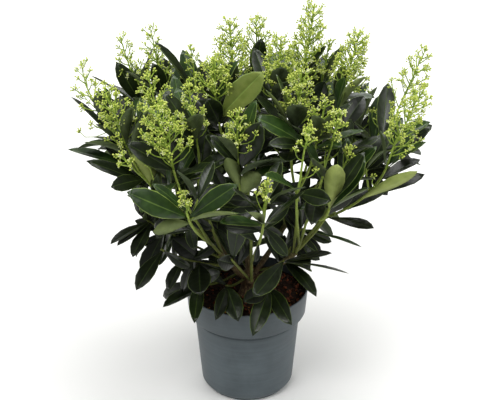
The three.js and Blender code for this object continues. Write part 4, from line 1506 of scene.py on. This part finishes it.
def bent_leaf(leaf, draw):
    """The model's points as this leaf, in mm."""
    points = leaf_shape[0]
    share, across, rise = points[:, 0], points[:, 1], points[:, 2]
    length, width = leaf["length"], leaf["width"]
    fold, twist, sickle, wave, beat = (mixed(*ends, draw()) for ends in BENDS.values())
    side = across * width * LEAF_SLIM
    ripple = np.sin(beat * share + 2.6 * np.sign(across)) * (2 * np.abs(across))  # none along the midrib
    up = fold * np.abs(side) + rise * width + wave * width * ripple
    turn = twist * share
    side, up = side * np.cos(turn) - up * np.sin(turn), side * np.sin(turn) + up * np.cos(turn)
    side = side + sickle * share**2 * length
    up = up - leaf["arch"] * share**2 * length - fold * 0.12 * width
    along, aside, out = (np.array(way[:]) for way in leaf_ways(leaf))
    midrib = np.array(leaf["root"][:]) + np.outer(share * length, along)
    return midrib + np.outer(side, aside) + np.outer(up, out)


def leaf_tone(leaf, draw):
    """The tone that a leaf takes: its own, or one by chance that suits its place."""
    chance = draw()
    # Painted shade: the shade leaves inside the crown mostly take the deepest tone.
    if leaf.get("tone") == "shade":
        return "deep" if chance < 0.75 else "dark"
    if "tone" in leaf:
        return leaf["tone"]
    # Painted shade: a leaf that turns its dull side to the eye takes a darker tone.
    if leaf_ways(leaf)[2].dot(eye - leaf["root"]) < 0:  # its dull side shows, in its own shade
        return "deep" if chance < 0.4 else "dark"
    # Painted shade as well as age: leaves low down mostly take the deepest tone.
    if leaf["root"].z < LOW_LEAF:
        return "deep" if chance < 0.62 else "dark" if chance < 0.95 else "mid"
    if leaf["rank"] < YOUNG_RANK:
        return "mid" if chance < 0.4 else "dark"
    return "dark" if chance < 0.55 else "deep" if chance < 0.84 else "mid"


draw = seeded(31)
sprays = {name: [] for name in TINTS}
for mass in masses:
    for shoot in mass["shoots"]:
        for leaf in shoot["kept"]:
            sprays[leaf_tone(leaf, draw)].append(bent_leaf(leaf, draw))

shape_points, shape_faces, shape_slots = leaf_shape
blade_place = np.stack([shape_points[:, 0], 0.5 + shape_points[:, 1]], axis=1)
for name, copies in sprays.items():
    points, faces = np.concatenate(copies) * MM, repeated(shape_faces, len(shape_points), len(copies))
    slots, uvs = shape_slots * len(copies), np.tile(blade_place, (len(copies), 1))
    piece = joined_piece(f"leaves_{name}", points, faces, slots, leaf_finishes[name], uvs)
    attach(piece, "root")
    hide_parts(*MASSES)
    print(piece.name, "leaves:", len(copies), "faces:", len(faces))

# %% [markdown]
# ## Green shoots
# The shoots of the year are smooth and green, four to five millimetres thick, and thinner in the side twigs.
# They are tubes of six sides, all joined, and their ends sink into the bough below and the flower stalk
# above.

# %% Join the shoots
SHOOT_GIRTHS, SHOOT_STATIONS = (2.4, 1.9), 10  # radius in mm at the foot and at the tip, and steps
TWIG_GIRTHS, TWIG_STATIONS = (1.6, 1.2), 5
KNOT = 0.35  # mm by which a leaf scar stands out

points, faces = [], []


def add_tube(stations, spokes):
    """Adds a tube to the points and faces that are being gathered."""
    gather(points, faces, *ring_tube(stations, spokes))


def tube_piece(name, finish):
    """All tubes gathered so far as one piece."""
    return joined_piece(name, np.array([p[:] for p in points]) * MM, faces, [0] * len(faces), [finish])


for mass in masses:
    for shoot in mass["shoots"]:
        curve = shoot["curve"]
        girths, steps = (TWIG_GIRTHS, TWIG_STATIONS) if "spray" in shoot else (SHOOT_GIRTHS, SHOOT_STATIONS)
        stations = []
        for i in range(steps + 1):
            radius = mixed(*girths, i / steps) + (KNOT if i % 3 == 2 else 0)
            stations.append((curve.point(i / steps), curve.tangent(i / steps), [radius] * 6, 0))
        add_tube(stations, 6)
shoot_piece = tube_piece("shoots_green", green_wood)
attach(shoot_piece, "root")
print("shoot faces:", len(faces))

# %% [markdown]
# ## Flower heads
# A panicle is a branched stalk: branchlets leave the main stalk in a spiral, rise outwards, and end in small
# bunches of buds on stalks of their own. Most buds are still shut, oblong and yellow-green. Here and there
# one has opened into a pale flower of four petals. Light shows through the whole head, so nothing fills it.


# %% Bud and flower finishes
def bloom_material(name, dark, light, roughness):
    """Soft plant tissue without gloss, in two close tones."""
    material, tree, shader = new_material(name, Roughness=roughness, Specular_IOR_Level=0.35)
    tint, _ = mottle(tree, [(0.35, dark), (0.65, light)], Scale=130.0, Detail=2.0)
    feed(shader, Base_Color=tint)
    return material


stalk_green = bloom_material("panicle_stalk_green", "#84a034", "#a7be51", 0.5)
bud_green = bloom_material("bud_yellow_green", "#aec145", "#d6e073", 0.45)
petal_cream = bloom_material("petal_cream_green", "#dce3a0", "#eff2c9", 0.55)
print("bloom finishes:", stalk_green.name, bud_green.name, petal_cream.name)

# %% Model a bud and a flower
deselect()
bpy.ops.mesh.primitive_uv_sphere_add(segments=5, ring_count=3, radius=0.5, location=(0, 0, 0.5))
bud = bpy.context.object
bpy.ops.object.transform_apply(location=True, rotation=True, scale=True)
bpy.ops.object.mode_set(mode="EDIT")
pick(bud, lambda vert: 0.6 < vert.co.z < 0.9)
bpy.ops.transform.resize(value=(1.12, 1.12, 1), center_override=(0, 0, 0.75))
bpy.ops.object.mode_set(mode="OBJECT")
bud_shape = read_model(bud)

petals = []
for quarter in range(4):
    deselect()
    bpy.ops.mesh.primitive_cube_add(size=1, location=(0.5, 0, 0))
    petal = bpy.context.object
    bpy.ops.object.transform_apply(location=True, rotation=True, scale=True)
    bpy.ops.object.mode_set(mode="EDIT")
    bpy.ops.transform.resize(value=(1, 0.62, 0.1), center_override=(0, 0, 0))
    pick(petal, lambda vert: vert.co.x > 0.9)
    bpy.ops.transform.resize(value=(1, 0.55, 0.6), center_override=(1, 0, 0))
    bpy.ops.transform.translate(value=(0, 0, 0.35))
    pick(petal, lambda vert: vert.co.x < 0.1)
    bpy.ops.transform.resize(value=(1, 0.5, 1), center_override=(0, 0, 0))
    bpy.ops.mesh.select_all(action="SELECT")
    bpy.ops.transform.rotate(value=quarter * math.pi / 2, orient_axis="Z", center_override=(0, 0, 0))
    bpy.ops.object.mode_set(mode="OBJECT")
    petals.append(petal)
flower_shape = read_model(join_limbs(petals, "flower_model"))
print("bud faces:", len(bud_shape[1]), "flower faces:", len(flower_shape[1]))

# %% Grow the panicles
PANICLE = {"reach": (0.9, 0.28), "rachis": (2.1, 0.8), "branchlet": (1.2, 0.75), "pedicel": 0.45}
PANICLE |= {"bunch": (10, 6), "forks": (13, 20), "fork": (6, 12), "lone": (26, 42), "crest": 6}
BUD = {"wide": (2.1, 2.9), "long": (1.2, 1.7), "open": 0.09}
PLAIN_HEAD = (1.0, 1.0, HEAD["bare"], 0.98)
HEAD_FORMS = {  # breadth, richness, and where on the stalk the flowers begin and end. None stands for no head
    ("left", 0): (1.0, 0.85, 0.2, 0.98),
    ("left", 1): (1.35, 1.1, 0.3, 0.92),
    ("left", 2): (0.5, 0.35, 0.72, 0.98),
    ("front_left", 0): (1.35, 1.15, 0.3, 0.78),
    ("front_left", 1): (0.5, 0.3, 0.85, 0.98),
    ("front_left", 2): (0.42, 0.5, 0.5, 0.98),
    ("inner_left", 0): (1.15, 1.0, 0.3, 0.98),
    ("inner_left", 1): (0.85, 0.9, 0.28, 0.98),
    ("front", 0): (0.75, 0.8, 0.33, 0.74),
    ("front", 1): (0.36, 0.45, 0.62, 0.98),
    ("front_right", 0): (0.6, 0.5, 0.68, 0.98),
    ("front_right", 1): (0.42, 0.4, 0.7, 0.98),
    ("front_right", 2): None,
    ("inner_right", 0): (1.15, 1.0, 0.42, 0.98),
    ("inner_right", 1): (1.0, 0.9, 0.2, 0.9),
    ("right_front", 0): (1.1, 1.25, 0.38, 0.98),
    ("right_front", 1): (0.45, 0.4, 0.7, 0.98),
    ("right", 0): (0.95, 0.75, 0.55, 0.98),
    ("right", 1): (0.7, 0.7, 0.45, 0.98),
    ("inner_back_right", 0): (1.1, 1.8, 0.38, 0.98),
    ("inner_back_right", 1): (0.7, 0.7, 0.4, 0.98),
    ("top_right", 0): (1.1, 2.4, 0.2, 0.98),
    ("top_right", 1): (1.2, 1.3, 0.4, 0.98),
    ("right_back", 0): (0.7, 0.6, 0.3, 0.72),
    ("middle", 0): (1.35, 1.3, 0.4, 0.98),
    ("middle", 1): (1.25, 2.3, 0.24, 0.98),
    ("inner_back", 0): (1.1, 1.8, 0.24, 0.98),
    ("inner_back", 1): (0.75, 0.75, 0.35, 0.98),
    ("back_left", 0): (0.95, 1.0, 0.24, 0.98),
    ("back_left", 1): (0.85, 0.95, 0.28, 0.98),
}
LONE_BUNCHES = {  # a head's own bunches on thin stalks: place on the head's stalk, and the bunch in mm
    ("left", 0): [(0.04, (-283, 14, 488))],
    ("front_left", 0): [(0.05, (-85, -150, 533)), (0.02, (-134, -150, 520))],
    ("right_front", 0): [(-0.3, (200, -110, 458))],
    ("front", 0): [(0.3, (14, -140, 542)), (0.2, (4, -136, 516)), (0.3, (-24, -138, 536))],
    ("inner_right", 0): [(0.12, (81, -90, 564))],
    ("middle", 0): [(0.03, (-71, -34, 541))],
}
HEAD_BOWS = {("left", 0): (-11, 0, 2), ("right_front", 0): (-6, 0, -4)}  # mm by which its middle bows out


def frame_along(way, turn, wide, long):
    """Where a small model's x, y and z go when its z points along way."""
    side = round_axis(way, turn)
    return [(side * wide)[:], (way.cross(side) * wide)[:], (way * long)[:]]


points, faces = [], []
buds, flowers = {"places": [], "frames": []}, {"places": [], "frames": []}


def free_way(start, end):
    """True if no leaf stands between the two points. The tree still has every blade from the last round."""
    way = end - start
    return leaf_tree.ray_cast(start, way.normalized(), way.length)[0] is None


def grow_bunch(at, way, count, draw):
    """Buds on short stalks round the end of a branchlet. A few have opened."""
    for i in range(count):
        lean = mixed(0.4, 1.5, draw()) if i else 0.1
        out = (way + round_axis(way, i * GOLDEN + draw()) * lean).normalized()
        start = at - way * (mixed(0, 5, draw()) if i else 0)
        end = start + out * mixed(2.6, 5.8, draw())
        add_tube([(start, out, [PANICLE["pedicel"]] * 3, 0), (end, out, [PANICLE["pedicel"]] * 3, 0)], 3)
        wide = mixed(*BUD["wide"], draw())
        if draw() < BUD["open"]:
            flowers["places"].append(end[:])
            flowers["frames"].append(frame_along(out, draw() * 6, wide * 1.25, wide * 1.25))
            wide *= 0.7
        buds["places"].append((end - out * 0.6)[:])
        buds["frames"].append(frame_along(out, draw() * 6, wide, wide * mixed(*BUD["long"], draw())))


def grow_branchlet(start, end, arrive, radii, count, draw):
    """A branchlet with a bunch of buds at its end, where no leaf is in its way."""
    if not free_way(start, end):
        return None
    curve = Bend(start, end, arrive, 0.45)
    stations = [(curve.point(j / 3), curve.tangent(j / 3), [mixed(*radii, j / 3)] * 4, 0) for j in range(4)]
    add_tube(stations, 4)
    grow_bunch(end, curve.tangent(1), count, draw)
    return curve


def grow_head(shoot, form, bow, lone, draw):
    """A panicle inside its cone: long rising branchlets low down, short ones near the tip."""
    foot, tip, way = shoot["curve"].end, shoot["tip"], shoot["way"]

    def stalk(share):
        return foot.lerp(tip, share) + Vector(bow) * (4 * share * (1 - share))

    breadth, rich, bare, top = form
    size = (tip - foot).length
    girth = head_cone(shoot, 0.5) * breadth
    stations = []
    for i in range(7):
        along = i / 6
        sway = round_axis(way, 1.3 * i + 5 * draw()) * (1.2 if 0 < i < 6 else 0)
        stations.append((stalk(along * (top - 0.02)) + sway, way, [mixed(*PANICLE["rachis"], along)] * 6, 0))
    add_tube(stations, 6)
    count = int((6 + size / 8) * rich * mixed(0.9, 1.12, draw()))
    turn = draw() * 2 * math.pi
    for i in range(count):
        share = (i + 0.3) / count
        turn += GOLDEN + 0.4 * (draw() - 0.5)
        out = round_axis(way, turn)
        reach = girth * mixed(*PANICLE["reach"], share) * mixed(0.68, 1.1, draw())
        flowering = mixed(bare, top, share)
        rise = min(flowering * 0.9, reach * mixed(0.8, 1.3, draw()) / size)
        start = stalk(flowering - rise)
        end = stalk(flowering) + out * reach
        buds_here = round(mixed(*PANICLE["bunch"], share) * mixed(0.8, 1.15, draw()))
        arrive = (out * 0.6 + way).normalized()
        curve = grow_branchlet(start, end, arrive, PANICLE["branchlet"], buds_here, draw)
        if curve and reach > PANICLE["forks"][0]:
            for t in (0.4, 0.7) if reach > PANICLE["forks"][1] else (0.55,):
                base = curve.point(t)
                aside = (curve.tangent(t) + round_axis(curve.tangent(t), draw() * 6) * 0.8).normalized()
                bunch_end = base + aside * mixed(*PANICLE["fork"], draw())
                grow_branchlet(base, bunch_end, aside, (0.8, 0.6), 5, draw)
    if lone is None:  # lone bunches on thin stalks from between the leaves, by chance
        numbers = range(1, 3 if size > 70 else 2)
        starts = [stalk(mixed(0.02, 0.9 * bare, draw())) for _ in numbers]
        outs = [round_axis(way, turn + GOLDEN * i) * mixed(0.6, 1.0, draw()) + way for i in numbers]
        reaches = [mixed(*PANICLE["lone"], draw()) for _ in numbers]
        lone_ways = [(at, at + out.normalized() * reach) for at, out, reach in zip(starts, outs, reaches)]
    else:
        lone_ways = [(stalk(share), Vector(end)) for share, end in lone]
    for start, end in lone_ways:
        grow_branchlet(start, end, way, (0.9, 0.6), 8, draw)
    grow_bunch(stalk(top) - way * PANICLE["crest"], way, 6, draw)


head_number = 0
for mass in masses:
    for order, shoot in enumerate(mass["shoots"]):
        if shoot["tip"]:
            key = (mass["name"][5:], order)
            form, bow = HEAD_FORMS.get(key, PLAIN_HEAD), HEAD_BOWS.get(key, (0, 0, 0))
            if form:
                grow_head(shoot, form, bow, LONE_BUNCHES.get(key), seeded(700 + head_number))
            head_number += 1
stalks = tube_piece("panicle_stalks", stalk_green)
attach(stalks, "root")
print("flower heads:", head_number, "buds:", len(buds["places"]), "open flowers:", len(flowers["places"]))
print("stalk faces:", len(faces))

# %% Deal out the buds and flowers
half = len(buds["places"]) // 2
for name, model, finish, places, frames in (
    ("buds_one", bud_shape, bud_green, buds["places"][:half], buds["frames"][:half]),
    ("buds_two", bud_shape, bud_green, buds["places"][half:], buds["frames"][half:]),
    ("open_flowers", flower_shape, petal_cream, flowers["places"], flowers["frames"]),
):
    all_points, all_faces, _ = deal(model, places, frames)
    piece = joined_piece(name, all_points * MM, all_faces, [0] * len(all_faces), [finish])
    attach(piece, "root")
    print(name, "copies:", len(places), "faces:", len(all_faces))

# %% [markdown]
# ## The size and the triangles
# Both boxes, of the solids and of the dressed plant, are printed, and the number of triangles.

# %% Finish
seen_box = [list(corner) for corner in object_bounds()]
for label, box in (("CAD", CAD_BOX), ("seen", seen_box)):
    print(label, [[round(value / MM, 1) for value in corner] for corner in box])
meshes = [piece.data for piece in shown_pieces() if piece.type == "MESH"]
triangles = sum(len(face.vertices) - 2 for mesh in meshes for face in mesh.polygons)
print("triangles in all:", triangles)
